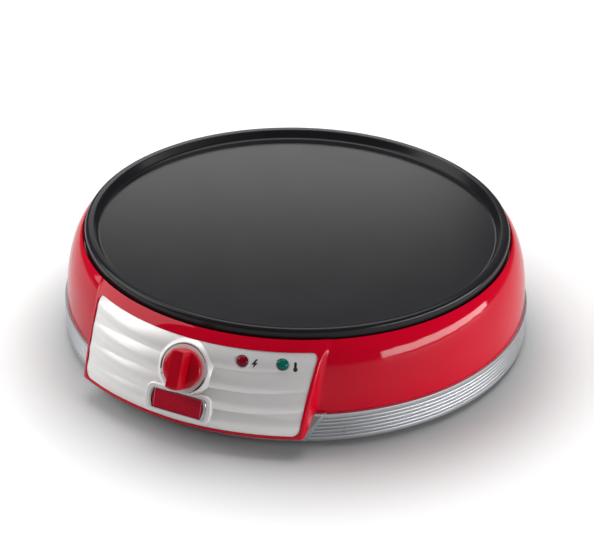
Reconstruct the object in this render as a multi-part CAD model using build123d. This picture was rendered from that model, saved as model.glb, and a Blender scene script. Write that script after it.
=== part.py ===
"""Electric crepe maker: a round non-stick plate over a red moulded housing with a ribbed base.

Millimetres, +Z up, controls towards -Y. Pieces are drawn about the plate's axis, and are moved
on export so that the origin is the middle of the footprint at table height.
"""
import os
from math import asin, cos, degrees, hypot, radians, sin, sqrt, tan

from build123d import *

# ---------------------------------------------------------------- driving dimensions
# Clearances and fits
PART_GAP = 0.5            # dark line between two mouldings
SEAT_GAP = 0.2            # between curved faces that lie on each other
RUNNING_FIT = 0.05        # radial, spindle in its bushes
PUSH_FIT = 0.1            # radial, pieces pushed into holes
LOOSE_FIT = 0.3           # radial, holes that a screw or a bead passes through

# Cooking plate, cast aluminium
PLATE_R = 150.0
RIM_WIDTH = 6.1
RIM_DROP = 9.0            # height of the rim's outer wall
RIM_DRAFT = 0.5
RIM_CHAMFER = 0.8
WELL_DEPTH = 6.2
WELL_WALL_RUN = 2.7
PLATE_T = 5.0
RIM_LAND = 4.5            # width of the rim's underside

# Base tub with its ribbed band, and the feet under it
FOOT_H = 3.0
FOOT_R = 10.0
FOOT_RING_R = 134.0
BAND_H = 21.5
BAND_STEP = 1.8           # the band stands proud of the housing above it
BASE_FLOOR_T = 2.5
BASE_WALL = 2.6
RIB_COUNT = 6
RIB_TOP = 3.3             # first groove below the parting line
RIB_PITCH = 2.8
RIB_DEPTH = 0.7
RIB_UNDERCUT_H = 0.7
BAND_ROUND = 1.8
TONGUE_H = 3.0
TONGUE_T = 2.2
VENT_COUNT = 14
VENT_LENGTH = 26.0
VENT_WIDTH = 3.2
VENT_RING_R = 62.0

# Upper housing
WALL = 2.6
CROWN_OVERHANG = 12.2     # from the plate's collar out to the side wall
CROWN_RUN = 15.6          # half-axes of the crown's quarter ellipse
CROWN_APEX_H = 9.0        # ellipse apex above the shoulder
CROWN_CHORDS = 5          # straight stretches along the crown's outline
SIDE_STRAIGHT_H = 2.9
SHOULDER_H = 41.5         # shoulder above the parting line
SHOULDER_RUN = 12.7
COLLAR_GAP = 1.2

# Control block, part of the upper housing, and the curved face of its panel
FACE_REACH_BOTTOM = 13.5  # panel face beyond the band, at its bottom edge
FACE_REACH_TOP = 6.4      # panel face beyond the collar, at its top edge
FACE_BOTTOM_H = 13.8      # above the feet
FACE_TOP_H = 1.5          # above the shoulder
FACE_BULGE = 1.92
PANEL_HALF_BOTTOM = 79.6
PANEL_FLARE = 2.0         # the panel is wider at its top edge, each side
PANEL_CORNER_R = 4.0
PANEL_T = 2.2
PANEL_BACKING_T = 2.4
BEZEL_W = 2.9
BEZEL_PROUD = 0.6
BEZEL_ROUND = 1.8
BLOCK_TOE_IN = 4.6        # degrees, side faces in plan
BLOCK_FILLET = 4.0
LIP_H = 2.4               # block's bottom edge below the panel
SHELF_H = 1.2             # block's top edge above the panel
BAND_CLEARANCE = 0.4      # block's underside starts just outside the band
SWEEP_H = 1.7             # block's underside above the parting line, at the band
CHIN_UNDERCUT = 23.9      # degrees, side facets of the chin under the block
CHIN_YAW = 10.0
CHIN_FACET_SET = 1.5      # facets meet the block's front corners this far back
CHIN_HOLLOW_RUN = 12.0    # chin's hollow reaches this far inside the housing's wall
CHIN_HOLLOW_H = 8.0

# Panel relief
SCALLOP_COUNT = 4
SCALLOP_H = 1.0
SCALLOP_SHIFT = 8.2       # forward shift of the scallops' own axis
SCALLOP_LIFT = 0.2

# Dial, badge and lamps on the panel
KNOB_DROP = 17.5          # axis below the panel's top edge
DIAL_R = 17.4
DIAL_H = 2.0
BADGE_RISE = 11.8         # middle above the panel's bottom edge
BADGE_LENGTH = 42.0
BADGE_HEIGHT = 14.0
BADGE_CORNER_R = 3.0
BADGE_MARGIN = 3.6
BADGE_PAD_H = 2.2
BADGE_BEZEL_W = 1.6
BADGE_BEZEL_H = 1.4
BADGE_PLATE_T = 1.2
BADGE_STRIPES = 9
STRIPE_DEPTH = 0.25
LAMP_DROP = 6.7           # axes below the panel's top edge
LAMP_INSETS = (42.6, 17.5)  # axes in from the panel's right bottom corner
LENS_R = 4.0
LENS_DOME_H = 2.6
DISH_R = 6.2
DISH_DEPTH = 1.5
DISH_FLARE = 2.0          # run of the dish's side for each unit of depth
NEON_R = 2.8
LAMP_L = 12.0             # lamp body behind its lens

# Knob and thermostat
KNOB_R = 13.6
KNOB_GAP = 0.6
KNOB_DISC_H = 3.4
KNOB_DOME_H = 1.2
KNOB_BAR_W = 9.0
KNOB_BAR_FLARE = 0.9
KNOB_BAR_H = 10.5
KNOB_BAR_ROUND = 4.5
KNOB_WALL = 1.8
HUB_R = 5.2
SPINDLE_R = 3.0
SPINDLE_FLAT = 2.0        # from the axis to the flat
SPINDLE_GRIP = 9.0        # length inside the knob
BUSH_R = 5.0
BODY_W = 28.0
BODY_HEIGHT = 30.0
BODY_DEPTH = 22.0
BRACKET_T = 1.2
BRACKET_EAR = 9.0
BRACKET_H = 18.0
PAD_H = 24.0              # pad behind the panel that the bracket is screwed to
PAD_T = 2.2
CLIP_T = 0.5

# Heating: element, reflector, clamps
REFLECTOR_T = 0.8
REFLECTOR_DEPTH = 9.6
REFLECTOR_SLOPE_RUN = 7.5
RIM_CLEARANCE = 4.2       # plate's rim above the reflector's flange
ELEMENT_RING_R = 98.0
ELEMENT_W = 7.0
ELEMENT_H = 6.0
ELEMENT_GAP_ANGLE = 56.0  # open sector at the front
BEAD_R = 3.2
BEAD_H = 6.0
TAB_H = 8.0
BULB_R = 3.0
BULB_L = 70.0
BULB_Y = -52.0
STRAP_W = 12.0
STRAP_T = 1.0
STRAP_FOOT = 6.0
FUSE_R = 2.0
FUSE_L = 11.0
FUSE_Y = 40.0
FUSE_PIN_R = 0.7
FUSE_PIN_L = 6.0
CAPILLARY_R = 0.9
CAPILLARY_BEND = 3.5
CAPILLARY_HOLE = (48.0, -66.0)

# Fixings
TIE_COUNT = 3
TIE_RING_R = 116.0
PILLAR_R = 6.2
TIE_HEAD_DEPTH = 37.0     # of the counterbore, above the floor's underside
TIE_R = 2.0
TIE_GRIP = 7.5            # screw above the reflector
THREAD_ROOM = 0.5         # blind holes are deeper than their screws
SMALL_SCREW_R = 1.5
SMALL_SCREW_L = 4.0
HEAD_RATIO = 2.0          # head radius over shank radius
HEAD_H = 2.4

# Mains inlet and terminals
INLET_Z = 14.0
INLET_BORE_R = 3.8
INLET_R = 6.0
INLET_FLANGE_R = 8.6
INLET_FLANGE_T = 1.6
INLET_LENGTH = 12.0
INLET_NUT_H = 4.0
INLET_WALL = 6.0          # rear wall's thickness behind the inlet's flange
TERMINAL_SIZE = (32.0, 16.0, 14.0)
TERMINAL_X = 34.0
TERMINAL_INSET = 47.7     # middle of the block in from the band's rear

# Leads and the sleeves that connect them
LEAD_R = 1.3
LEAD_BEND = 4.0
LEAD_H = 18.5             # live lead above the floor
LEAD_DROP = 11.0          # leads hang below their sleeves before they turn
LEAD_AHEAD = 14.0
BLADE_W = 6.3
BLADE_T = 0.8
SLEEVE_WALL = 0.9
SLEEVE_L = 7.0

# ---------------------------------------------------------------- levels and radii
PARTING_Z = FOOT_H + BAND_H
SHOULDER_Z = PARTING_Z + SHOULDER_H
SKIRT_Z = SHOULDER_Z + REFLECTOR_T + RIM_CLEARANCE
PLATE_TOP_Z = SKIRT_Z + RIM_DROP
WELL_Z = PLATE_TOP_Z - WELL_DEPTH
UNDERSIDE_Z = WELL_Z - PLATE_T
DISH_Z = SHOULDER_Z - REFLECTOR_DEPTH          # underside of the reflector's floor
FLOOR_Z = FOOT_H + BASE_FLOOR_T

SKIRT_R = PLATE_R + RIM_DRAFT
COLLAR_R = SKIRT_R + COLLAR_GAP
HOUSING_R = COLLAR_R + CROWN_OVERHANG
BAND_R = HOUSING_R + BAND_STEP
SHOULDER_R = COLLAR_R - SHOULDER_RUN

CROWN_R0 = HOUSING_R - CROWN_RUN
CROWN_Z0 = PARTING_Z + SIDE_STRAIGHT_H
CROWN_RISE = SHOULDER_Z + CROWN_APEX_H - CROWN_Z0

FACE_BOTTOM_Z = FOOT_H + FACE_BOTTOM_H
FACE_TOP_Z = SHOULDER_Z + FACE_TOP_H
FACE_BOTTOM_R = BAND_R + FACE_REACH_BOTTOM
FACE_TOP_R = COLLAR_R + FACE_REACH_TOP
LIP_Z = FACE_BOTTOM_Z - LIP_H
PANEL_HALF_TOP = PANEL_HALF_BOTTOM + PANEL_FLARE
KNOB_Z = FACE_TOP_Z - KNOB_DROP
BADGE_Z = FACE_BOTTOM_Z + BADGE_RISE
LAMP_Z = FACE_TOP_Z - LAMP_DROP
SIDE_REF_Y = sqrt(FACE_BOTTOM_R**2 - (PANEL_HALF_BOTTOM + BEZEL_W) ** 2)
CREASE_PITCH = (FACE_TOP_Z - FACE_BOTTOM_Z) / SCALLOP_COUNT
BIG = 2 * BAND_R          # larger than anything it cuts

# Heights along a normal of the panel's face
PAD_FACE = -PANEL_T - SEAT_GAP - PANEL_BACKING_T - PAD_T
BODY_TOP = PAD_FACE - BRACKET_T
BUSH_TIP = -PANEL_T - PART_GAP
KNOB_FOOT = DIAL_H + KNOB_GAP
SPINDLE_TIP = KNOB_FOOT + SPINDLE_GRIP
CLIP_TOP = SPINDLE_FLAT + CLIP_T
TAB_XS = (-BODY_W / 4, BODY_W / 4)
TAB_Y = BODY_HEIGHT / 4
BADGE_FLOOR = BADGE_PAD_H - 1.0
LENS_BACK = PAD_FACE + PAD_T - 1.0
BRACKET_SCREW_XS = [side * (BODY_W + BRACKET_EAR) / 2 for side in (-1, 1)]
BRACKET_SCREW_TIP = BODY_TOP + SMALL_SCREW_L

PIN_TOP_Z = DISH_Z + 3.0
PIN_LOW_Z = PIN_TOP_Z - BEAD_H - TAB_H
TAB_LOW = BODY_TOP - BODY_DEPTH - TAB_H
FUSE_REACH = FUSE_L / 2 + FUSE_PIN_L
BULB_Z = UNDERSIDE_Z - BULB_R - SEAT_GAP
FUSE_Z = DISH_Z - FUSE_R - SEAT_GAP
BULB_SCREW_TIP_Z = UNDERSIDE_Z - STRAP_T + SMALL_SCREW_L
TIE_TIP_Z = DISH_Z + REFLECTOR_T + TIE_GRIP
POCKET_W = 2 * INLET_FLANGE_R + 1.0
TERMINAL_Y = BAND_R - TERMINAL_INSET
TERMINAL_WELL_Z = FLOOR_Z + TERMINAL_SIZE[2] / 2
TERMINAL_WELL_XS = [TERMINAL_X + i * TERMINAL_SIZE[0] / 3.4 for i in (-1, 0, 1)]


# ---------------------------------------------------------------- helpers
def crown_z(r, inset=0.0):
    """Height of the crown's ellipse at radius r, inset into the wall."""
    run, rise = CROWN_RUN - inset, CROWN_RISE - inset
    return CROWN_Z0 + rise * sqrt(1 - ((r - CROWN_R0) / run) ** 2)


def face_circle():
    """Centre and radius, in the r-z plane, of the arc that bounds the panel's face."""
    run, rise = FACE_BOTTOM_R - FACE_TOP_R, FACE_TOP_Z - FACE_BOTTOM_Z
    chord = hypot(run, rise)
    radius = chord**2 / (8 * FACE_BULGE) + FACE_BULGE / 2
    inward = radius - FACE_BULGE
    centre_r = (FACE_BOTTOM_R + FACE_TOP_R) / 2 - inward * rise / chord
    centre_z = (FACE_BOTTOM_Z + FACE_TOP_Z) / 2 - inward * run / chord
    return centre_r, centre_z, radius


FACE_CR, FACE_CZ, FACE_R = face_circle()


def face_r(z, lift=0.0):
    return FACE_CR + sqrt((FACE_R + lift) ** 2 - (z - FACE_CZ) ** 2)


def face_arc(z0, z1, lift=0.0):
    """The face's arc from z0 to z1 in the r-z plane, lifted off it."""
    return ThreePointArc(*[(face_r(z, lift), z) for z in (z0, (z0 + z1) / 2, z1)])


def face_chords(first, last, lift=0.0):
    """Points of the face at the levels of the creases, counted from the panel's bottom edge."""
    levels = [FACE_BOTTOM_Z + i * CREASE_PITCH for i in range(first, last + 1)]
    return [(face_r(z, lift), z) for z in levels]


def face_plane(x, z, lift=0.0):
    """A plane on the panel's face at x, z: its normal points out and its y runs up the face."""
    r = face_r(z)
    turn, tilt = asin(x / r), asin((z - FACE_CZ) / FACE_R)
    normal = Vector(sin(turn) * cos(tilt), -cos(turn) * cos(tilt), sin(tilt))
    origin = Vector(x, -r * cos(turn), z) + normal * lift
    return Plane(origin=origin, x_dir=(cos(turn), sin(turn), 0), z_dir=normal)


def spun(*edges, axis=Axis.Z, arc=360.0):
    """Turn a closed outline in the r-z plane about the plate's axis."""
    loop = Wire([edge for piece in edges for edge in piece.edges()])
    return revolve(Plane.XZ * make_face(loop), axis, arc)


def spun_outline(*points, arc=360.0):
    return spun(Polyline(*points, close=True), arc=arc)


def front_prism(outline):
    """Push an outline in the x-z plane forwards through the whole control block."""
    return extrude(Plane.XZ * outline, amount=BIG)


def post(radius, z0, z1, x=0.0, y=0.0):
    return Pos(x, y, (z0 + z1) / 2) * Cylinder(radius, z1 - z0)


def block(size, x=0.0, y=0.0, z0=0.0):
    return Pos(x, y, z0 + size[2] / 2) * Box(*size)


def on_ring(radius, angles, piece):
    """Copies of a piece made at the origin, placed round the plate's axis."""
    return [Rot(0, 0, angle) * Pos(radius, 0, 0) * piece for angle in angles]


def even_angles(count, start):
    return [start + 360.0 * i / count for i in range(count)]


def hex_screw(radius, seat_z, tip_z):
    """A hexagon-head screw on the z axis, driven upwards from its head's seat."""
    head = extrude(Pos(0, 0, seat_z - HEAD_H) * RegularPolygon(HEAD_RATIO * radius, 6), amount=HEAD_H)
    return head + post(radius, seat_z, tip_z)


TIE_ANGLES = even_angles(TIE_COUNT, 90.0)
FOOT_ANGLES = even_angles(4, 45.0)
KNOB_PLANE = face_plane(0, KNOB_Z)
BADGE_PLANE = face_plane(0, BADGE_Z)
LAMP_PLANES = [face_plane(PANEL_HALF_BOTTOM - inset, LAMP_Z) for inset in LAMP_INSETS]
INLET_PLANE = Plane(origin=(0, BAND_R - INLET_FLANGE_T, INLET_Z), x_dir=(-1, 0, 0), z_dir=(0, 1, 0))
ELEMENT_END_ANGLES = (270 - ELEMENT_GAP_ANGLE / 2, 270 + ELEMENT_GAP_ANGLE / 2)


# ---------------------------------------------------------------- cooking plate
def cooking_plate():
    rim_in = PLATE_R - RIM_WIDTH
    well_r = rim_in - WELL_WALL_RUN
    land_r = SKIRT_R - RIM_LAND
    plate = spun_outline(
        (0, WELL_Z),
        (well_r, WELL_Z),
        (rim_in, PLATE_TOP_Z),
        (PLATE_R - RIM_CHAMFER, PLATE_TOP_Z),
        (PLATE_R, PLATE_TOP_Z - RIM_CHAMFER),
        (SKIRT_R, SKIRT_Z),
        (land_r, SKIRT_Z),
        (land_r - (SKIRT_Z - UNDERSIDE_Z), UNDERSIDE_Z),
        (0, UNDERSIDE_Z),
    )
    boss = post(PILLAR_R, DISH_Z + REFLECTOR_T, UNDERSIDE_Z)
    bore = post(TIE_R + RUNNING_FIT, DISH_Z, TIE_TIP_Z + THREAD_ROOM)
    for piece in on_ring(TIE_RING_R, TIE_ANGLES, boss):
        plate += piece
    for piece in on_ring(TIE_RING_R, TIE_ANGLES, bore):
        plate -= piece
    for y in strap_screw_ys(BULB_Y, BULB_R):
        plate -= post(SMALL_SCREW_R + RUNNING_FIT, UNDERSIDE_Z, BULB_SCREW_TIP_Z + THREAD_ROOM, y=y)
    return plate


# ---------------------------------------------------------------- upper housing
def crown_outline(inset=0.0):
    """Points of the crown's quarter ellipse from the side wall up to the collar."""
    top = asin((crown_z(COLLAR_R) - CROWN_Z0) / CROWN_RISE)
    angles = [top * i / CROWN_CHORDS for i in range(CROWN_CHORDS + 1)]
    run, rise = CROWN_RUN - inset, CROWN_RISE - inset
    return [(CROWN_R0 + run * cos(a), CROWN_Z0 + rise * sin(a)) for a in angles]


def side_half(y, inset=0.0):
    """Half-width of the control block at y: its side faces toe in towards the front."""
    return PANEL_HALF_BOTTOM + BEZEL_W - inset + (y + SIDE_REF_Y) * tan(radians(BLOCK_TOE_IN))


def plan_wedge(inset=0.0):
    near, far = -BIG, -PLATE_R / 2
    half_near, half_far = side_half(near, inset), side_half(far, inset)
    corners = ((-half_near, near), (half_near, near), (half_far, far), (-half_far, far))
    return extrude(make_face(Polyline(*corners, close=True)), amount=PLATE_TOP_Z)


def sweep_points(drop=0.0):
    """The block's underside: an S from the band's top edge out and down to the front lip."""
    start_r, start_z = BAND_R + BAND_CLEARANCE, PARTING_Z + SWEEP_H
    end_r, end_z = face_r(LIP_Z) - BEZEL_ROUND, LIP_Z
    points = []
    for share in (0.0, 0.3, 0.7, 1.0):
        ease = share * share * (3 - 2 * share)
        points.append((start_r + share * (end_r - start_r), start_z + ease * (end_z - start_z) - drop))
    return points


def control_block():
    root_r, top_z = COLLAR_R + WALL / 2, FACE_TOP_Z + SHELF_H
    front = face_arc(LIP_Z, top_z, BEZEL_PROUD)
    sweep = Polyline((root_r, PARTING_Z + SWEEP_H), *sweep_points(), front @ 0)
    shelf = Polyline(front @ 1, (root_r, crown_z(root_r)), (root_r, PARTING_Z + SWEEP_H))
    solid = spun(sweep, front, shelf) & plan_wedge()
    side_edges = solid.edges().filter_by(lambda e: abs(e.center().X) > PANEL_HALF_BOTTOM)
    front_corners = side_edges.sort_by(SortBy.LENGTH)[-2:]
    return fillet(front_corners, BEZEL_ROUND)


def panel_outline(grow=0.0):
    """The panel's outline in front view: a slight trapezium with round corners."""
    bottom, top = PANEL_HALF_BOTTOM + grow, PANEL_HALF_TOP + grow
    z0, z1 = FACE_BOTTOM_Z - grow, FACE_TOP_Z + grow
    face = make_face(Polyline((-bottom, z0), (bottom, z0), (top, z1), (-top, z1), close=True))
    return fillet(face.vertices(), PANEL_CORNER_R + grow)


def face_layer(low, high, outline):
    """A curved sheet between two lifts off the panel's face, cut to an outline."""
    inner, outer = face_chords(-1, SCALLOP_COUNT + 1, low), face_chords(-1, SCALLOP_COUNT + 1, high)
    return spun_outline(*inner, *reversed(outer)) & front_prism(outline)


def housing_shell():
    side, shoulder = ((0, PARTING_Z), (HOUSING_R, PARTING_Z)), ((COLLAR_R, SHOULDER_Z), (0, SHOULDER_Z))
    return spun_outline(*side, *crown_outline(), *shoulder) + control_block()


def housing_cavity():
    """Everything inside the moulding's wall: the bowl, the shoulder's opening and the block."""
    channel_r, inner_r = COLLAR_R + WALL, HOUSING_R - WALL
    bowl = spun_outline(
        (0, PARTING_Z - 1),
        (inner_r, PARTING_Z - 1),
        (inner_r, CROWN_Z0),
        (channel_r, SHOULDER_Z - WALL),
        (SHOULDER_R, SHOULDER_Z - WALL),
        (SHOULDER_R, SHOULDER_Z + 1),
        (0, SHOULDER_Z + 1),
    )
    front = face_chords(-1, SCALLOP_COUNT - 1, PAD_FACE + PAD_T)
    top_z = SHOULDER_Z - WALL
    front.append((face_r(top_z, PAD_FACE + PAD_T), top_z))
    hollow = spun_outline(*front, (channel_r, top_z), (channel_r, front[0][1]))
    return bowl + (hollow & plan_wedge(WALL))


def upper_housing():
    housing = housing_shell()
    housing -= housing_cavity()
    housing += KNOB_PLANE * block((BODY_W + 2 * BRACKET_EAR, PAD_H, -PAD_FACE), z0=PAD_FACE)
    housing -= face_layer(-PANEL_T - SEAT_GAP, BLOCK_FILLET, panel_outline(PART_GAP / 2))
    housing -= KNOB_PLANE * post(BUSH_R + SEAT_GAP, PAD_FACE - 1, 0)
    for x in BRACKET_SCREW_XS:
        hole = post(SMALL_SCREW_R + RUNNING_FIT, PAD_FACE, BRACKET_SCREW_TIP + THREAD_ROOM, x)
        housing -= KNOB_PLANE * hole
    for plane in LAMP_PLANES:
        housing -= plane * post(LENS_R + PUSH_FIT, PAD_FACE - 2, 0)
    return housing


# ---------------------------------------------------------------- base tub
def band_outline():
    """The band's edge from its top down: saw-tooth ribs over a plain rounded foot."""
    points = [(BAND_R, PARTING_Z)]
    for i in range(RIB_COUNT):
        groove_z = PARTING_Z - RIB_TOP - i * RIB_PITCH
        points.append((BAND_R, groove_z + RIB_UNDERCUT_H))
        points.append((BAND_R - RIB_DEPTH, groove_z))
    points.append((BAND_R, groove_z - RIB_UNDERCUT_H))
    points.append((BAND_R, FOOT_H + BAND_ROUND))
    points.append((BAND_R - BAND_ROUND, FOOT_H))
    return points


def chin():
    """The smooth chin that closes the control block from below, with a facet at each side."""
    sweep = sweep_points(PART_GAP)
    root_r, step_r, low = HOUSING_R - WALL, HOUSING_R + PART_GAP, (BAND_R - BAND_ROUND, FOOT_H)
    top = ((root_r, PARTING_Z), (step_r, PARTING_Z), (step_r, sweep[0][1]))
    solid = spun_outline(*top, *sweep, low, (root_r, FOOT_H))
    solid &= block((BIG, BIG, BIG), y=-(BIG + PLATE_R) / 2)
    undercut, yaw = radians(CHIN_UNDERCUT), radians(CHIN_YAW)
    y, z = CHIN_FACET_SET - SIDE_REF_Y, LIP_Z + 2 * LIP_H
    for side in (-1, 1):
        normal = (side * cos(undercut) * cos(yaw), -cos(undercut) * sin(yaw), -sin(undercut))
        facet = Plane(origin=(side * (side_half(y) + BAND_CLEARANCE), y, z), z_dir=normal)
        solid -= facet * Pos(0, 0, BIG / 2) * Box(BIG, BIG, BIG)
    return solid


def chin_hollow():
    tip_r, tip_z = sweep_points(PART_GAP)[-1]
    rise, run = tip_z - FOOT_H, tip_r - BAND_R + BAND_ROUND
    slope = rise / run
    drop = BASE_WALL * sqrt(1 + slope**2)
    low_r = BAND_R - BAND_ROUND + (BASE_FLOOR_T - drop) / slope
    tip_r -= BEZEL_ROUND
    root_r, top_z = HOUSING_R - CHIN_HOLLOW_RUN, CROWN_Z0 + CHIN_HOLLOW_H
    hollow = spun_outline(
        (root_r, FLOOR_Z),
        (low_r, FLOOR_Z),
        (tip_r, FLOOR_Z + (tip_r - low_r) * slope),
        (tip_r, top_z),
        (root_r, top_z),
    )
    return hollow & plan_wedge(WALL + SEAT_GAP)


def base_tub():
    tub = spun_outline((0, FOOT_H), (0, PARTING_Z), *band_outline())
    tub += chin()
    tongue_r = HOUSING_R - WALL - SEAT_GAP
    tub += post(tongue_r, FLOOR_Z, PARTING_Z + TONGUE_H)
    tub -= post(tongue_r - TONGUE_T, FLOOR_Z, BIG)
    tub -= chin_hollow()
    for piece in on_ring(TIE_RING_R, TIE_ANGLES, post(PILLAR_R, FLOOR_Z - 1, DISH_Z)):
        tub += piece
    tub += inlet_boss()
    bore = post(TIE_R + LOOSE_FIT, 0, BIG) + post(HEAD_RATIO * TIE_R + 0.5, 0, FOOT_H + TIE_HEAD_DEPTH)
    vent = block((VENT_LENGTH, VENT_WIDTH, BIG), z0=0)
    for piece in on_ring(TIE_RING_R, TIE_ANGLES, bore):
        tub -= piece
    for piece in on_ring(VENT_RING_R, even_angles(VENT_COUNT, 0), vent):
        tub -= piece
    tub -= INLET_PLANE * block((POCKET_W, POCKET_W, BASE_WALL))
    tub -= INLET_PLANE * post(INLET_R + PUSH_FIT, -INLET_LENGTH, BASE_WALL)
    return tub


def inlet_boss():
    """Thickening inside the rear wall that the inlet bush is clamped to."""
    depth = INLET_WALL + BASE_WALL
    return INLET_PLANE * Pos(0, 0, depth / 2 - INLET_WALL) * Box(POCKET_W + 3, POCKET_W + 1, depth) & post(
        BAND_R - RIB_DEPTH, 0, BIG
    )


def inlet_bush():
    bush = post(INLET_R, INLET_FLANGE_T - INLET_LENGTH, 0) + post(INLET_FLANGE_R, 0, INLET_FLANGE_T)
    bush -= post(INLET_BORE_R, -INLET_LENGTH, 2 * INLET_FLANGE_T)
    return INLET_PLANE * bush


def inlet_nut():
    hexagon = Pos(0, 0, -INLET_WALL - INLET_NUT_H) * RegularPolygon(INLET_FLANGE_R, 6)
    nut = extrude(hexagon, amount=INLET_NUT_H)
    return INLET_PLANE * (nut - post(INLET_R + RUNNING_FIT, -BIG, BIG))


def rubber_feet():
    return on_ring(FOOT_RING_R, FOOT_ANGLES, post(FOOT_R, 0, FOOT_H))


# ---------------------------------------------------------------- panel
def scallops():
    """Convex bands about an axis shifted forwards, so that they die out towards both sides."""
    outline = []
    for i in range(SCALLOP_COUNT):
        for share in (0.0, 1 / 3, 2 / 3):
            z = FACE_BOTTOM_Z + (i + share) * CREASE_PITCH
            outline.append((face_r(z, 4 * SCALLOP_H * share * (1 - share)), z))
    outline.append((face_r(FACE_TOP_Z), FACE_TOP_Z))
    outline += reversed(face_chords(0, SCALLOP_COUNT, -PANEL_T / 2))
    bands = Pos(SCALLOP_LIFT - SCALLOP_SHIFT, 0, 0) * make_face(Polyline(*outline, close=True))
    return Pos(0, -SCALLOP_SHIFT, 0) * revolve(Plane.XZ * bands, Axis.Z) & front_prism(panel_outline())


def control_panel():
    panel = face_layer(-PANEL_T, 0, panel_outline()) + scallops()
    dial_height = DIAL_H + PANEL_T / 2
    dial = Pos(0, 0, dial_height / 2 - PANEL_T / 2) * Cone(DIAL_R + dial_height, DIAL_R, dial_height)
    panel += KNOB_PLANE * dial & front_prism(panel_outline())
    pad_size = (BADGE_LENGTH + 2 * BADGE_MARGIN, BADGE_HEIGHT + 2 * BADGE_MARGIN)
    pad_face = RectangleRounded(*pad_size, BADGE_CORNER_R + BADGE_MARGIN)
    badge_pad = extrude(Pos(0, 0, -PANEL_T / 2) * pad_face, amount=PANEL_T / 2 + BADGE_PAD_H)
    badge_pad = chamfer(badge_pad.edges().group_by(Axis.Z)[-1], BADGE_MARGIN / 4)
    panel += BADGE_PLANE * badge_pad
    panel -= BADGE_PLANE * badge_blank(PUSH_FIT, BADGE_FLOOR, BIG)
    panel -= KNOB_PLANE * post(SPINDLE_R + 1, -2 * PANEL_T, 2 * DIAL_H)
    flare = DISH_FLARE * DISH_DEPTH
    for plane in LAMP_PLANES:
        dish = Cone(DISH_R - flare, DISH_R + flare, 2 * DISH_DEPTH)
        panel -= plane * Pos(0, 0, SCALLOP_H) * dish
        panel -= plane * post(LENS_R + PUSH_FIT, -2 * PANEL_T, 2 * PANEL_T)
    return panel


def badge_blank(grow, z0, z1, inset_x=0.0, inset_y=0.0):
    size = (BADGE_LENGTH + 2 * (grow - inset_x), BADGE_HEIGHT + 2 * (grow - inset_y))
    corner = BADGE_CORNER_R + grow - min(inset_x, inset_y)
    return extrude(Pos(0, 0, z0) * RectangleRounded(*size, corner), amount=z1 - z0)


def badge_bezel():
    frame = badge_blank(0, BADGE_FLOOR, BADGE_FLOOR + BADGE_BEZEL_H)
    frame -= badge_blank(0, 0, BIG, BADGE_BEZEL_W, BADGE_BEZEL_W / 2)
    return BADGE_PLANE * frame


def badge_plate():
    """A ribbed colour plate that fills the bezel."""
    grow = -PUSH_FIT
    top = BADGE_FLOOR + BADGE_PLATE_T
    plate = badge_blank(grow, BADGE_FLOOR, top, BADGE_BEZEL_W, BADGE_BEZEL_W / 2)
    pitch = (BADGE_HEIGHT - 2 * BADGE_BEZEL_W) / BADGE_STRIPES
    length = BADGE_LENGTH - 6 * BADGE_BEZEL_W
    for i in range(BADGE_STRIPES):
        y = (i - (BADGE_STRIPES - 1) / 2) * pitch
        plate -= Pos(0, y, top) * Box(length, pitch / 3, 2 * STRIPE_DEPTH)
    return BADGE_PLANE * plate


def lens():
    """A domed plug pushed into the panel and the wall behind it."""
    top = SCALLOP_H - DISH_DEPTH + LENS_DOME_H
    shoulder = (LENS_R, top - LENS_DOME_H)
    bend = (0.7 * LENS_R, top - 0.3 * LENS_DOME_H)
    return spun_outline((0, LENS_BACK), (LENS_R, LENS_BACK), shoulder, bend, (0, top))


def neon_lamp():
    tip_r, low = NEON_R / 2, LENS_BACK - LAMP_L
    lamp = post(NEON_R, low + tip_r, LENS_BACK) + Pos(0, 0, low + tip_r / 2) * Cone(tip_r, NEON_R, tip_r)
    return lamp


# ---------------------------------------------------------------- knob and thermostat
def control_knob():
    top, disc_top = KNOB_FOOT + KNOB_DISC_H + KNOB_BAR_H, KNOB_FOOT + KNOB_DISC_H
    disc = spun_outline(
        (0, KNOB_FOOT),
        (KNOB_R, KNOB_FOOT),
        (KNOB_R, disc_top - 1.0),
        (KNOB_R - 0.8, disc_top),
        (0, disc_top + KNOB_DOME_H),
    )
    half, base = KNOB_BAR_W / 2, KNOB_BAR_W / 2 + KNOB_BAR_FLARE
    sides = ((-base, KNOB_FOOT), (base, KNOB_FOOT), (half, top), (-half, top))
    bar = extrude(Plane.XZ * make_face(Polyline(*sides, close=True)), amount=KNOB_R, both=True)
    bar = fillet(bar.edges().filter_by(Axis.X).group_by(Axis.Z)[-1], KNOB_BAR_ROUND)
    knob = disc + (bar & post(KNOB_R, KNOB_FOOT, top))
    knob -= post(KNOB_R - KNOB_WALL, 0, disc_top - KNOB_WALL / 2)
    knob += post(HUB_R, KNOB_FOOT, disc_top)
    bore = post(SPINDLE_R + RUNNING_FIT, 0, SPINDLE_TIP + SEAT_GAP)
    bore &= Pos(0, CLIP_TOP + RUNNING_FIT - BIG / 2, 0) * Box(BIG, BIG, BIG)
    return knob - bore


def thermostat_spindle():
    rod = post(SPINDLE_R, BODY_TOP - BODY_DEPTH / 2, SPINDLE_TIP)
    return rod - Pos(0, SPINDLE_FLAT + BIG / 2, KNOB_FOOT + BIG / 2) * Box(BIG, BIG, BIG)


def knob_clip():
    width = 2 * sqrt(SPINDLE_R**2 - CLIP_TOP**2) - 0.2
    return block((width, CLIP_T, SPINDLE_GRIP - 2), y=CLIP_TOP - CLIP_T / 2, z0=KNOB_FOOT + 1)


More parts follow.
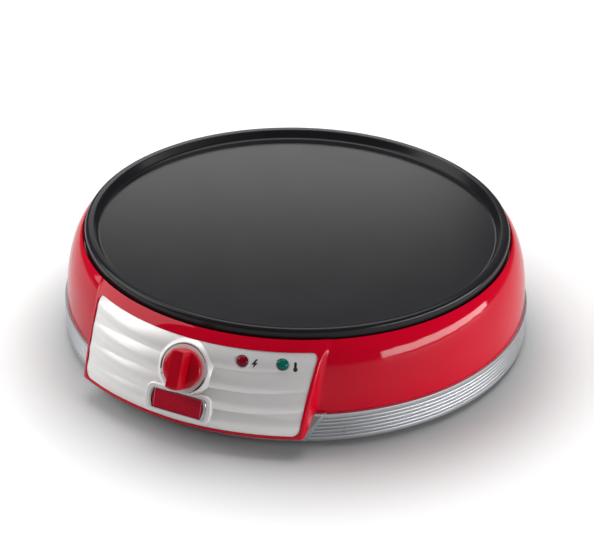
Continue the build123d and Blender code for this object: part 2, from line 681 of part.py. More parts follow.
def thermostat_body():
    body = Pos(0, 0, BODY_TOP - BODY_DEPTH / 2) * Box(BODY_W, BODY_HEIGHT, BODY_DEPTH)
    body = chamfer(body.edges().filter_by(Axis.Z), 2.0)
    body += post(BUSH_R, BODY_TOP - 1, BUSH_TIP)
    body -= post(SPINDLE_R + RUNNING_FIT, BODY_TOP - BODY_DEPTH / 2 - SEAT_GAP, BUSH_TIP + 1)
    return body


def thermostat_bracket():
    plate = block((BODY_W + 2 * BRACKET_EAR, BRACKET_H, BRACKET_T), z0=BODY_TOP)
    for x in BRACKET_SCREW_XS:
        plate -= post(SMALL_SCREW_R + PUSH_FIT, BODY_TOP, PAD_FACE, x)
    return plate - post(BUSH_R + PUSH_FIT, BODY_TOP - 1, 0)


def thermostat_screws():
    screw = hex_screw(SMALL_SCREW_R, BODY_TOP, BODY_TOP + SMALL_SCREW_L)
    return [Pos(x, 0, 0) * screw for x in BRACKET_SCREW_XS]


def thermostat_tabs():
    """Two flat connector blades on the rear of the thermostat."""
    return [block((BLADE_T, BLADE_W, TAB_H), x=x, y=TAB_Y, z0=TAB_LOW) for x in TAB_XS]


# ---------------------------------------------------------------- heating
def heating_element():
    """A tubular element, flattened where it is brazed to the plate, with its ends turned down."""
    r, top, half = ELEMENT_RING_R, UNDERSIDE_Z, ELEMENT_W / 2
    bevel, low = ELEMENT_H / 3, UNDERSIDE_Z - ELEMENT_H
    ring = spun_outline(
        (r - half, top),
        (r + half, top),
        (r + half, low + bevel),
        (r + half - bevel, low),
        (r - half + bevel, low),
        (r - half, low + bevel),
        arc=360 - ELEMENT_GAP_ANGLE,
    )
    element = Rot(0, 0, ELEMENT_END_ANGLES[1]) * ring
    for leg in on_ring(r, ELEMENT_END_ANGLES, post(half - 0.3, PIN_TOP_Z, top - bevel)):
        element += leg
    return element


def element_pins():
    pin = post(BEAD_R, PIN_TOP_Z - BEAD_H, PIN_TOP_Z)
    pin += block((BLADE_W, BLADE_T, TAB_H), z0=PIN_LOW_Z)
    return on_ring(ELEMENT_RING_R, ELEMENT_END_ANGLES, pin)


def heat_reflector():
    floor_r = SHOULDER_R - SEAT_GAP - REFLECTOR_SLOPE_RUN
    slope_r, t = SHOULDER_R - SEAT_GAP, REFLECTOR_T
    dish = spun_outline(
        (0, DISH_Z),
        (floor_r, DISH_Z),
        (slope_r, SHOULDER_Z),
        (COLLAR_R - COLLAR_GAP, SHOULDER_Z),
        (COLLAR_R - COLLAR_GAP, SHOULDER_Z + t),
        (slope_r - t / 2, SHOULDER_Z + t),
        (floor_r - t / 2, DISH_Z + t),
        (0, DISH_Z + t),
    )
    for hole in on_ring(TIE_RING_R, TIE_ANGLES, post(TIE_R + LOOSE_FIT, 0, BIG)):
        dish -= hole
    for hole in on_ring(ELEMENT_RING_R, ELEMENT_END_ANGLES, post(BEAD_R + LOOSE_FIT, 0, BIG)):
        dish -= hole
    for y in strap_screw_ys(FUSE_Y, FUSE_R):
        dish -= post(SMALL_SCREW_R + PUSH_FIT, DISH_Z, SHOULDER_Z, y=y)
    return dish - post(2.5 * CAPILLARY_R, 0, BIG, *CAPILLARY_HOLE)


def sensing_bulb():
    plane = Plane(origin=(0, BULB_Y, BULB_Z), x_dir=(0, 1, 0), z_dir=(1, 0, 0))
    return plane * post(BULB_R, -BULB_L / 2, BULB_L / 2)


def strap_screw_ys(middle_y, radius):
    reach = radius + STRAP_T + STRAP_FOOT / 2
    return middle_y - reach, middle_y + reach


def strap(radius, top):
    """A strap folded round a rod along x that lies under a flat, with a screwed foot at each side."""
    inner, outer, low = radius + PUSH_FIT, radius + STRAP_T, top - 2 * radius - SEAT_GAP - PUSH_FIT
    cut = radius * (2 - sqrt(2))
    half = [
        (outer + STRAP_FOOT, top),
        (outer + STRAP_FOOT, top - STRAP_T),
        (outer, top - STRAP_T),
        (outer, low - STRAP_T + cut),
        (outer - cut, low - STRAP_T),
    ]
    inside = [(inner - cut, low), (inner, low + cut), (inner, top)]
    mirrored = [(-y, z) for y, z in reversed(half)]
    mirrored_inside = [(-y, z) for y, z in inside]
    outline = make_face(Polyline(*half, *mirrored, *reversed(mirrored_inside), *inside, close=True))
    folded = extrude(Plane.YZ * outline, amount=STRAP_W / 2, both=True)
    for y in strap_screw_ys(0, radius):
        folded -= post(SMALL_SCREW_R + PUSH_FIT, top - STRAP_T, top, y=y)
    return folded


def bulb_clip():
    return Pos(0, BULB_Y, 0) * strap(BULB_R, UNDERSIDE_Z)


def fuse_clip():
    return Pos(0, FUSE_Y, 0) * strap(FUSE_R, DISH_Z)


def strap_screws():
    """Small screws up through the feet of both straps."""
    places = [(y, UNDERSIDE_Z) for y in strap_screw_ys(BULB_Y, BULB_R)]
    places += [(y, DISH_Z) for y in strap_screw_ys(FUSE_Y, FUSE_R)]
    screw = hex_screw(SMALL_SCREW_R, -STRAP_T, SMALL_SCREW_L - STRAP_T)
    return [Pos(0, y, z) * screw for y, z in places]


def thermal_fuse():
    """A one-shot cut-out: a can with a stiff wire out of each end."""
    can = post(FUSE_R, -FUSE_L / 2, FUSE_L / 2) + post(FUSE_PIN_R, -FUSE_REACH, FUSE_REACH)
    return Plane(origin=(0, FUSE_Y, FUSE_Z), x_dir=(0, 1, 0), z_dir=(1, 0, 0)) * can


def capillary_tube():
    hole_x, hole_y = CAPILLARY_HOLE
    port_y, port_z = -BODY_HEIGHT / 4, BODY_TOP - BODY_DEPTH
    end = KNOB_PLANE.from_local_coords((0, port_y, port_z))
    ahead = KNOB_PLANE.from_local_coords((0, port_y, port_z - 14))
    route = [
        (BULB_L / 2, BULB_Y, BULB_Z),
        (hole_x, BULB_Y, BULB_Z),
        (hole_x, hole_y, BULB_Z - 2),
        (hole_x, hole_y, DISH_Z - 9),
        ahead,
        end,
    ]
    path = FilletPolyline(*route, radius=CAPILLARY_BEND)
    return sweep(Plane(origin=path @ 0, z_dir=path % 0) * RegularPolygon(CAPILLARY_R, 6), path)


# ---------------------------------------------------------------- terminals and fixings
def terminal_block():
    length, depth, height = TERMINAL_SIZE
    body = block(TERMINAL_SIZE, z0=FLOOR_Z)
    for x in TERMINAL_WELL_XS:
        body -= block((length / 5, depth / 2, height), x=x - TERMINAL_X, z0=TERMINAL_WELL_Z)
    return Pos(TERMINAL_X, TERMINAL_Y, 0) * body


def blade_sleeve():
    """An insulated push-on connector over a blade that points down and ends at z 0."""
    size = (BLADE_T + 2 * SLEEVE_WALL, BLADE_W + 2 * SLEEVE_WALL)
    slot = block((BLADE_T + PUSH_FIT, BLADE_W + PUSH_FIT, SLEEVE_L), z0=-SEAT_GAP)
    return block((*size, SLEEVE_L), z0=-SLEEVE_WALL) - slot


def blade_sleeves():
    sleeves = [KNOB_PLANE * Pos(x, TAB_Y, TAB_LOW) * blade_sleeve() for x in TAB_XS]
    on_pin = Pos(0, 0, PIN_LOW_Z) * Rot(0, 0, 90) * blade_sleeve()
    return sleeves + on_ring(ELEMENT_RING_R, ELEMENT_END_ANGLES, on_pin)


def pin_route(angle):
    """The last two points of a lead that comes up to an element pin."""
    x, y = ELEMENT_RING_R * cos(radians(angle)), ELEMENT_RING_R * sin(radians(angle))
    end = PIN_LOW_Z - SLEEVE_WALL
    return [(x, y, end - LEAD_DROP), (x, y, end)]


def tab_route(x):
    """The last two points of a lead that runs forwards to a thermostat blade."""
    depths = (TAB_LOW - SLEEVE_WALL - LEAD_AHEAD, TAB_LOW - SLEEVE_WALL)
    return [KNOB_PLANE.from_local_coords((x, TAB_Y, depth)) for depth in depths]


def lead(*route):
    path = FilletPolyline(*route, radius=LEAD_BEND)
    return sweep(Plane(origin=path @ 0, z_dir=path % 0) * RegularPolygon(LEAD_R, 6), path)


def live_lead():
    x, y, run_z = TERMINAL_WELL_XS[2], TERMINAL_Y, FLOOR_Z + LEAD_H
    turn, end = tab_route(TAB_XS[1])
    ahead = (TAB_XS[1], turn.Y + LEAD_AHEAD, run_z)
    return lead((x, y, TERMINAL_WELL_Z + SEAT_GAP), (x, y, run_z), ahead, turn, end)


def switched_lead():
    return lead(*reversed(tab_route(TAB_XS[0])), *pin_route(ELEMENT_END_ANGLES[0]))


def neutral_lead():
    """From the terminal block to the thermal fuse."""
    x, y = TERMINAL_WELL_XS[0], TERMINAL_Y
    ahead, end = (FUSE_REACH + LEAD_AHEAD, FUSE_Y, FUSE_Z), (FUSE_REACH, FUSE_Y, FUSE_Z)
    return lead((x, y, TERMINAL_WELL_Z + SEAT_GAP), (x, y, FUSE_Z - LEAD_DROP), ahead, end)


def fuse_lead():
    """From the thermal fuse to the element."""
    ahead = (-FUSE_REACH - LEAD_AHEAD, FUSE_Y, FUSE_Z)
    return lead((-FUSE_REACH, FUSE_Y, FUSE_Z), ahead, *pin_route(ELEMENT_END_ANGLES[1]))


def tie_screws():
    seat = FOOT_H + TIE_HEAD_DEPTH
    return on_ring(TIE_RING_R, TIE_ANGLES, hex_screw(TIE_R, seat, TIE_TIP_Z))


# ---------------------------------------------------------------- the assembly
def in_plane(plane, pieces):
    return [plane * piece for piece in pieces]


def assembly():
    return {
        "cooking_plate": cooking_plate(),
        "heating_element": heating_element(),
        "element_pins": element_pins(),
        "heat_reflector": heat_reflector(),
        "tie_screws": tie_screws(),
        "sensing_bulb": sensing_bulb(),
        "bulb_clip": bulb_clip(),
        "thermal_fuse": thermal_fuse(),
        "fuse_clip": fuse_clip(),
        "strap_screws": strap_screws(),
        "capillary_tube": capillary_tube(),
        "upper_housing": upper_housing(),
        "base_tub": base_tub(),
        "rubber_feet": rubber_feet(),
        "inlet_bush": inlet_bush(),
        "inlet_nut": inlet_nut(),
        "terminal_block": terminal_block(),
        "blade_sleeves": blade_sleeves(),
        "live_lead": live_lead(),
        "switched_lead": switched_lead(),
        "neutral_lead": neutral_lead(),
        "fuse_lead": fuse_lead(),
        "control_panel": control_panel(),
        "badge_bezel": badge_bezel(),
        "badge_plate": badge_plate(),
        "power_lens": LAMP_PLANES[0] * lens(),
        "ready_lens": LAMP_PLANES[1] * lens(),
        "power_lamp": LAMP_PLANES[0] * neon_lamp(),
        "ready_lamp": LAMP_PLANES[1] * neon_lamp(),
        "thermostat_body": KNOB_PLANE * thermostat_body(),
        "thermostat_bracket": KNOB_PLANE * thermostat_bracket(),
        "thermostat_screws": in_plane(KNOB_PLANE, thermostat_screws()),
        "thermostat_tabs": in_plane(KNOB_PLANE, thermostat_tabs()),
        "thermostat_spindle": KNOB_PLANE * thermostat_spindle(),
        "control_knob": KNOB_PLANE * control_knob(),
        "knob_clip": KNOB_PLANE * knob_clip(),
    }


def footprint_shift():
    """How far the plate's axis lies behind the middle of the footprint."""
    reach = KNOB_PLANE.from_local_coords((0, KNOB_BAR_ROUND - KNOB_R, KNOB_FOOT + KNOB_DISC_H + KNOB_BAR_H))
    return (max(-reach.Y, face_r(LIP_Z, BEZEL_PROUD)) - BAND_R) / 2


if __name__ == "__main__":
    os.makedirs("parts", exist_ok=True)
    for name, piece in assembly().items():
        solids = piece if isinstance(piece, list) else [piece]
        placed = Pos(0, footprint_shift(), 0) * Compound([s for p in solids for s in p.solids()])
        export_step(placed, f"parts/{name}.step")
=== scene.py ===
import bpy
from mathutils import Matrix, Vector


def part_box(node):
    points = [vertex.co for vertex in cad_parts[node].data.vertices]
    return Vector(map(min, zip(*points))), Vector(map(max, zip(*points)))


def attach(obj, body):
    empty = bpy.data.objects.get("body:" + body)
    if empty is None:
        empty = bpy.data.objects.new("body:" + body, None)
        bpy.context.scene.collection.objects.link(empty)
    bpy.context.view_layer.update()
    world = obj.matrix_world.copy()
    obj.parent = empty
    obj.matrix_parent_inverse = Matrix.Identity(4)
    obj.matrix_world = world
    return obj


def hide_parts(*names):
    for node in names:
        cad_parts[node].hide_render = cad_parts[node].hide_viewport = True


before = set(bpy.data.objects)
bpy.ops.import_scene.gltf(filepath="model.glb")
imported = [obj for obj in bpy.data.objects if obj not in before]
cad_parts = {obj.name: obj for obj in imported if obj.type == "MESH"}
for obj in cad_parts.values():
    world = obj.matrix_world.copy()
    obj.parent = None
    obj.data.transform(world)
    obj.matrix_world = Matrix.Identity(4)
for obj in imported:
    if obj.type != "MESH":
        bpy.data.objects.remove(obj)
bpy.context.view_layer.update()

from math import asin, atan2, cos, degrees, hypot, pi, radians, sin, sqrt, tan

import bmesh
import bpy
import numpy as np
from mathutils import Matrix, Quaternion, Vector

# ------------------------------------------------------------------ table, light and camera
# A seamless white table under a broad overhead softbox that stands a little behind the object. A
# large softbox at the left lights the panel, a long low one at the right draws a highlight along the
# red crown, and a low wide one behind shows as a soft gleam in the plate.
MM = 0.001
CAMERA_DISTANCE = 1.5
AXIS_Y = sum(corner.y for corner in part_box("cooking_plate")) / 2
AXIS = Vector((0, AXIS_Y, 0))

azimuth, elevation, roll = radians(25.3), radians(30.02), radians(1.21)
aim = AXIS + Vector((0.4, 0, 34.1)) * MM
back = Vector((sin(azimuth) * cos(elevation), -cos(azimuth) * cos(elevation), sin(elevation)))
bpy.ops.object.camera_add(location=aim + CAMERA_DISTANCE * back)
camera = bpy.context.object
camera.rotation_mode = "QUATERNION"
camera.rotation_quaternion = back.to_track_quat("Z", "Y") @ Quaternion((0, 0, 1), roll)
camera.data.lens = 126.5
bpy.context.scene.camera = camera
bpy.context.scene.view_settings.view_transform = "Standard"


def towards(around, up):
    """A direction, in degrees round from the front to the right and up from level."""
    a, e = radians(around), radians(up)
    return Vector((sin(a) * cos(e), -cos(a) * cos(e), sin(e)))


def softbox(name, around, up, distance, size, brightness):
    """A rectangular diffuse light that faces the object, with the brightness that its own face has."""
    bpy.ops.object.light_add(type="AREA", location=aim + distance * towards(around, up))
    lamp = bpy.context.object
    lamp.name = name
    lamp.data.shape = "RECTANGLE"
    lamp.data.size, lamp.data.size_y = size
    lamp.data.energy = pi * size[0] * size[1] * brightness
    lamp.rotation_mode = "QUATERNION"
    lamp.rotation_quaternion = towards(around, up).to_track_quat("Z", "Y")


softbox("overhead_softbox", 195, 74, 1.4, (1.4, 1.0), 3.3)
softbox("left_softbox", -68, 32, 1.25, (0.92, 1.1), 2.95)
softbox("right_strip", 94, 5, 1.2, (1.4, 0.19), 13.0)
softbox("rear_softbox", 209, 25, 1.2, (0.6, 0.16), 2.9)

sky = bpy.data.worlds.new("studio")
bpy.context.scene.world = sky
sky.use_nodes = True
sky_nodes, sky_links = sky.node_tree.nodes, sky.node_tree.links
rays = sky_nodes.new("ShaderNodeLightPath")
mirrored = sky_nodes.new("ShaderNodeMath")
mirrored.operation = "MULTIPLY_ADD"
mirrored.inputs[1].default_value = 0.04
straight = sky_nodes.new("ShaderNodeMath")
sky_colour = sky_nodes.new("ShaderNodeMix")
sky_colour.data_type = "RGBA"
sky_colour.inputs[6].default_value = (0.08, 0.08, 0.085, 1)
sky_colour.inputs[7].default_value = (1, 1, 1, 1)
sky_links.new(rays.outputs["Is Camera Ray"], straight.inputs[0])
sky_links.new(rays.outputs["Is Transmission Ray"], straight.inputs[1])
sky_links.new(rays.outputs["Is Glossy Ray"], mirrored.inputs[0])
sky_links.new(straight.outputs[0], mirrored.inputs[2])
sky_links.new(mirrored.outputs[0], sky_colour.inputs[0])
sky_links.new(sky_colour.outputs[2], sky_nodes["Background"].inputs["Color"])


class Value:
    """A shader socket: sums, products and comparisons of it add Math nodes."""

    def __init__(self, finish, socket):
        self.finish, self.socket = finish, socket

    def math(self, operation, *others):
        return self.finish.node("Math", {"operation": operation}, dict(enumerate((self, *others))))

    def __add__(self, other):
        return self.math("ADD", other)

    def __mul__(self, other):
        return self.math("MULTIPLY", other)

    def __sub__(self, other):
        return self.math("SUBTRACT", other)

    def __rsub__(self, other):
        return self.finish.node("Math", {"operation": "SUBTRACT"}, {0: other, 1: self})


class Finish:
    """One surface finish: a Principled shader and the nodes that vary it."""

    def __init__(self, name, colour, **constants):
        self.material = bpy.data.materials.new(name)
        self.material.use_nodes = True
        self.nodes, self.links = self.material.node_tree.nodes, self.material.node_tree.links
        self.shader = self.nodes["Principled BSDF"]
        self.shader.inputs["Base Color"].default_value = (*colour, 1)
        for socket, value in constants.items():
            self.shader.inputs[socket.replace("_", " ")].default_value = value
        self.place = self.node("TexCoord", {}, {}, "Object")

    def node(self, kind, settings, inputs, output=0):
        made = self.nodes.new("ShaderNode" + kind)
        for setting, value in settings.items():
            setattr(made, setting, value)
        for socket, value in inputs.items():
            if isinstance(value, Value):
                self.links.new(value.socket, made.inputs[socket])
            else:
                made.inputs[socket].default_value = value
        return Value(self, made.outputs[output])

    def noise(self, scale, detail=3.0, place=None):
        """Noise whose grain is about scale millimetres."""
        inputs = {"Vector": place or self.place, "Scale": 1 / (scale * MM), "Detail": detail}
        return self.node("TexNoise", {}, inputs)

    def measure(self, operation, vector):
        """The distance or dot product of the place and a fixed vector, in metres."""
        return self.node("VectorMath", {"operation": operation}, {0: self.place, 1: vector}, "Value")

    def ramp(self, value, start, end, height, shape="LINEAR"):
        """Rises from 0 to the height while the value goes from start to end."""
        limits = {"Value": value, "From Min": start, "From Max": end, "To Min": 0.0, "To Max": height}
        return self.node("MapRange", {"interpolation_type": shape}, limits, "Result")

    def between(self, factor, low, high):
        """A value that goes from low to high with the factor."""
        return factor * (high - low) + low

    def blend(self, factor, first, second):
        """A colour between two, by the factor."""
        colours = {0: factor}
        for socket, colour in ((6, first), (7, second)):
            colours[socket] = colour if isinstance(colour, Value) else (*colour, 1)
        return self.node("Mix", {"data_type": "RGBA"}, colours, 2)

    def feed(self, **values):
        for socket, value in values.items():
            self.links.new(value.socket, self.shader.inputs[socket.replace("_", " ")])

    def grain(self, height, depth, strength=1.0):
        """Relief of that depth in millimetres."""
        settings = {"Strength": strength, "Distance": depth * MM, "Height": height}
        self.feed(Normal=self.node("Bump", {}, settings))


bpy.ops.mesh.primitive_plane_add(size=24)
table = bpy.context.object
table.name = "table"
table_white = Finish("table_white", (0.62, 0.62, 0.62), Roughness=0.6, Emission_Strength=1.0)
# The floor glows white only away from the object. Round its front the glow is held back, so a painted shade
# darkens the ground beside its real shadow, and in reflections too.
PAINTED_SHADE_SHIFT = 35             # millimetres from the plate's middle to that of the shaded ground
MIRRORED_GLOW = 0.6
painted_shade_middle = tuple(AXIS + PAINTED_SHADE_SHIFT * MM * Vector((sin(azimuth), -cos(azimuth), 0)))
from_middle = table_white.measure("DISTANCE", painted_shade_middle)
glow_beyond_painted_shade = table_white.ramp(from_middle, 0.15, 0.24, 0.5, "SMOOTHSTEP")
camera_ray, glossy_ray, clear_ray = (table_white.node("LightPath", {}, {}, f"Is {kind} Ray")
                                     for kind in ("Camera", "Glossy", "Transmission"))
far_fade = table_white.ramp(from_middle, 0.3, 1.5, 0.5)
glow = (glow_beyond_painted_shade + far_fade) * (camera_ray + clear_ray) + glow_beyond_painted_shade * glossy_ray * MIRRORED_GLOW
table_white.feed(Emission_Color=table_white.blend(glow, (0, 0, 0), (1, 1, 1)))
table.data.materials.append(table_white.material)


# ------------------------------------------------------------------ cooking plate
# Cast aluminium, turned on its rim and sprayed with a dark non-stick coating that leaves a fine
# satin grain. Three bosses under it take the tie screws.
PLATE_R, SKIRT_R = 150.0, 150.5
SKIRT_Z, PLATE_TOP_Z, WELL_Z, UNDERSIDE_Z = 71.0, 80.0, 73.8, 68.8
RIM_WIDTH, WELL_RUN, RIM_LAND = 6.1, 2.7, 4.5


def add(name, kind, **sizes):
    """A primitive, alone in the selection."""
    bpy.ops.object.select_all(action="DESELECT")
    getattr(bpy.ops.mesh, f"primitive_{kind}_add")(**sizes)
    piece = bpy.context.object
    piece.name = piece.data.name = name
    bpy.ops.object.transform_apply(location=True, rotation=True, scale=True)
    return piece


def choose(piece):
    """Makes the piece active and alone in the selection."""
    bpy.ops.object.select_all(action="DESELECT")
    bpy.context.view_layer.objects.active = piece
    piece.select_set(True)


def edit(piece):
    choose(piece)
    bpy.ops.object.mode_set(mode="EDIT")
    bpy.ops.mesh.select_mode(type="VERT")


def pick(piece, kind, wanted):
    """Selects, in edit mode, the faces, edges or verts that are wanted."""
    bpy.ops.mesh.select_mode(type={"faces": "FACE", "edges": "EDGE", "verts": "VERT"}[kind])
    bpy.ops.mesh.select_all(action="DESELECT")
    mesh = bmesh.from_edit_mesh(piece.data)
    for item in getattr(mesh, kind):
        if wanted(item):
            item.select_set(True)
    mesh.select_flush_mode()
    bmesh.update_edit_mesh(piece.data)


def faces_up(face):
    return face.normal.z > 0.9


def faces_down(face):
    return face.normal.z < -0.9


def modify(piece, name, kind, **settings):
    """Gives the active piece a modifier and applies it."""
    modifier = piece.modifiers.new(name, kind)
    for setting, value in settings.items():
        setattr(modifier, setting, value)
    bpy.ops.object.modifier_apply(modifier=modifier.name)


def finished(piece, finish, body, *nodes, angle=30.0, slot=None):
    """Smooths the piece, gives it its finish and sets it on its body in place of its CAD nodes."""
    if bpy.context.mode != "OBJECT":
        bpy.ops.object.mode_set(mode="OBJECT")
    choose(piece)
    bpy.ops.object.shade_smooth_by_angle(angle=radians(angle))
    modify(piece, "level_flats", "WEIGHTED_NORMAL", keep_sharp=True)
    piece.data.materials.clear()
    piece.data.materials.append(finish.material)
    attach(piece, body)
    if nodes:
        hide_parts(*nodes)


def rim_edges(r, z, slack=0.05):
    """A test for edges of the ring at radius r and height z, in millimetres."""
    def on_ring(vert):
        reach = hypot(vert.co.x, vert.co.y - AXIS_Y)
        return abs(reach - r * MM) < slack * MM and abs(vert.co.z - z * MM) < slack * MM
    return lambda edge: all(on_ring(vert) for vert in edge.verts)


plate = add(
    "cooking_plate", "cylinder", vertices=256, radius=PLATE_R * MM, depth=(PLATE_TOP_Z - SKIRT_Z) * MM,
    location=AXIS + Vector((0, 0, (PLATE_TOP_Z + SKIRT_Z) / 2 * MM)),
)
edit(plate)
pick(plate, "faces", faces_down)
bpy.ops.transform.resize(value=(SKIRT_R / PLATE_R, SKIRT_R / PLATE_R, 1), center_override=AXIS)
bpy.ops.mesh.inset(thickness=RIM_LAND * MM)
bpy.ops.mesh.inset(thickness=(SKIRT_Z - UNDERSIDE_Z) * MM, depth=(SKIRT_Z - UNDERSIDE_Z) * MM)
pick(plate, "faces", faces_up)
bpy.ops.mesh.inset(thickness=RIM_WIDTH * MM)
bpy.ops.mesh.inset(thickness=WELL_RUN * MM, depth=-(PLATE_TOP_Z - WELL_Z) * MM)
for r, z, width in ((PLATE_R, PLATE_TOP_Z, 2.8), (PLATE_R - RIM_WIDTH, PLATE_TOP_Z, 0.6),
                    (PLATE_R - RIM_WIDTH - WELL_RUN, WELL_Z, 1.6), (SKIRT_R, SKIRT_Z, 0.5)):
    pick(plate, "edges", rim_edges(r, z))
    bpy.ops.mesh.bevel(offset=width * MM, segments=6, profile=0.5)

coating = Finish("nonstick_coating", (0.009, 0.009, 0.011), Roughness=0.23, Specular_IOR_Level=0.22)
fine, patches = coating.noise(0.45, 2.0), coating.noise(38.0, 2.0)
coating.feed(
    Base_Color=coating.blend(fine * 0.5 + patches * 0.5, (0.009, 0.009, 0.011), (0.017, 0.017, 0.019)),
    Roughness=coating.between(patches, 0.20, 0.25) + coating.between(fine, -0.03, 0.03),
)
coating.grain(fine, 0.006, 0.3)
finished(plate, coating, "crepe_maker", "cooking_plate", slot="plate_coating")


# ------------------------------------------------------------------ upper housing
# One glossy red injection moulding: a domed ring round the plate, and the control block that grows
# out of its front with a soft fillet. A shallow recess in the block takes the panel.
PARTING_Z, SHOULDER_Z, COLLAR_R, HOUSING_R, BAND_R = 24.5, 66.0, 151.7, 163.9, 165.7
CROWN_R0, CROWN_Z0, CROWN_RUN, CROWN_RISE = 148.3, 27.4, 15.6, 47.6
FACE_CR, FACE_CZ, FACE_R = -11.7274, -32.9183, 197.2946
FACE_BOTTOM_Z, FACE_TOP_Z = 16.8, 67.5
LIP_Z, SHELF_Z = 14.4, 68.7
PANEL_HALF_BOTTOM, PANEL_HALF_TOP, PANEL_CORNER_R = 79.6, 81.6, 4.0
BEZEL_W, BEZEL_PROUD, BEZEL_ROUND = 2.9, 0.6, 1.8
SIDE_REF_Y, TOE_IN = 159.0798, radians(4.6)
FILLET_LOW, FILLET_HIGH = 0.3, 2.2
SIDE_ROUND, UNDER_ROUND = 1.3, 1.2
BLOCK_CORNER_R, BLOCK_BACK_Y = 179.2, 100
INNER_R, CEILING_Z, OPENING_R = 161.3, 63.4, 139.2
FACE_HALF_ANGLE = 38
PRISM_START, PRISM_LENGTH = -230, 110
RECESS_DEPTH, RECESS_GAP = 2.4, 0.3
HEART = (150.0, 70.0)        # rays from here, in the r-z plane, cross the moulding's skin once


def face_r(z, lift=0.0):
    """Radius of the block's curved front at a height."""
    return FACE_CR + np.sqrt((FACE_R + lift) ** 2 - (z - FACE_CZ) ** 2)


def crown_z(r):
    return CROWN_Z0 + CROWN_RISE * np.sqrt(1 - ((r - CROWN_R0) / CROWN_RUN) ** 2)


def rounded_meet(a, b, radius):
    """Distance from what two solids share, its edge rounded."""
    outside = np.hypot(np.maximum(radius + a, 0), np.maximum(radius + b, 0))
    return np.minimum(-radius, np.maximum(a, b)) + outside


def rounded_join(a, b, radius):
    """Distance from two solids joined with a fillet."""
    inside = np.hypot(np.maximum(radius - a, 0), np.maximum(radius - b, 0))
    return np.maximum(radius, np.minimum(a, b)) - inside


def sweep_z(r):
    """Height of the block's underside: an S from the band out and down to the lip."""
    start_r, end_r = BAND_R + 0.4, face_r(LIP_Z) - BEZEL_ROUND
    share = np.clip((r - start_r) / (end_r - start_r), 0, 1)
    return PARTING_Z + 1.7 + share * share * (3 - 2 * share) * (LIP_Z - PARTING_Z - 1.7)


def outside_moulding(angle, r, z):
    """How far a point is outside the moulding, for an angle from the front."""
    x, y = r * np.sin(angle), r * np.cos(angle)
    u, v = (r - CROWN_R0) / CROWN_RUN, np.maximum(z - CROWN_Z0, 0) / CROWN_RISE
    reach = np.hypot(u, v)
    crown = (reach - 1) * reach / np.hypot(u / CROWN_RUN, v / CROWN_RISE)
    front = np.hypot(r - FACE_CR, z - FACE_CZ) - FACE_R - BEZEL_PROUD
    side = (np.abs(x) - PANEL_HALF_BOTTOM - BEZEL_W - (SIDE_REF_Y - y) * tan(TOE_IN)) * cos(TOE_IN)
    shelf_r, root_r = face_r(SHELF_Z, BEZEL_PROUD), COLLAR_R + 1.3
    slope = (crown_z(root_r) - SHELF_Z) / (shelf_r - root_r)
    shelf = (z - SHELF_Z - (shelf_r - r) * slope) / hypot(1, slope)
    under = (sweep_z(r) - z) * 0.8        # nearly a distance, for the S is never steep
    block = rounded_meet(rounded_meet(front, side, SIDE_ROUND), shelf, BEZEL_ROUND)
    block = rounded_meet(block, under, UNDER_ROUND)
    block = np.maximum(block, BLOCK_BACK_Y - y)
    fillet = FILLET_LOW + (FILLET_HIGH - FILLET_LOW) * np.clip((z - 28) / 8, 0, 1)
    return rounded_join(crown, block, fillet)


corner_angle = degrees(asin((PANEL_HALF_BOTTOM + BEZEL_W) / BLOCK_CORNER_R))
dense_from, dense_to = corner_angle - 2, corner_angle + 9
half_turn = np.concatenate([
    np.arange(0, dense_from, 1.5),
    np.arange(dense_from, dense_to, 0.14),
    np.linspace(dense_to, 180, 116),
])
turns = np.radians(np.concatenate([-half_turn[:0:-1], half_turn]))

lean = np.radians(np.linspace(90, 0, 46))
crown_points = [(CROWN_R0 + CROWN_RUN * cos(a), CROWN_Z0 + CROWN_RISE * sin(a)) for a in lean]
shelf_points = [(r, SHELF_Z + (158.9 - r) * 0.7) for r in np.arange(153.2, 158.4, 0.4)]
front_z = np.concatenate([
    np.arange(68.7, 65, -0.3), np.arange(64.5, 19, -2.2), np.arange(18.5, 14.3, -0.35),
])
front_points = [(face_r(z, BEZEL_PROUD), z) for z in front_z]
under_points = [(r, sweep_z(r)) for r in np.arange(178.8, 166.0, -0.7)]
wall_points = [(HOUSING_R, z) for z in np.arange(26.6, 24.4, -0.35)]
slants = [atan2(z - HEART[1], r - HEART[0]) for r, z in
          crown_points + shelf_points + front_points + under_points + wall_points]
top_slant = atan2(crown_z(COLLAR_R + 0.5) - HEART[1], COLLAR_R + 0.5 - HEART[0])
bottom_slant = atan2(PARTING_Z - HEART[1], HOUSING_R - HEART[0])
slants = {round(s, 3) for s in slants if bottom_slant < s < top_slant} | {bottom_slant, top_slant}
slants = sorted(slants)[::-1]

near, far = np.zeros((len(slants), len(turns))), np.full((len(slants), len(turns)), 90.0)
slant_grid, turn_grid = np.meshgrid(slants, turns, indexing="ij")
for _ in range(40):
    reach = (near + far) / 2
    r, z = HEART[0] + reach * np.cos(slant_grid), HEART[1] + reach * np.sin(slant_grid)
    out = outside_moulding(turn_grid, r, z) > 0
    far, near = np.where(out, reach, far), np.where(out, near, reach)
skin_r, skin_z = HEART[0] + near * np.cos(slant_grid), HEART[1] + near * np.sin(slant_grid)
skin_z[-1] = PARTING_Z
inner_wall = ((INNER_R, PARTING_Z), (INNER_R, 30.0), (154.3, CEILING_Z), (OPENING_R, CEILING_Z),
              (OPENING_R, SHOULDER_Z), (COLLAR_R, SHOULDER_Z), (COLLAR_R, 73.1))
ones = np.ones((1, len(turns)))
rows_r = np.vstack([r * ones for r, z in inner_wall] + [skin_r] + [inner_wall[0][0] * ones])
rows_z = np.vstack([z * ones for r, z in inner_wall] + [skin_z] + [inner_wall[0][1] * ones])
rows_a = np.vstack([turns[None, :]] * len(rows_r))


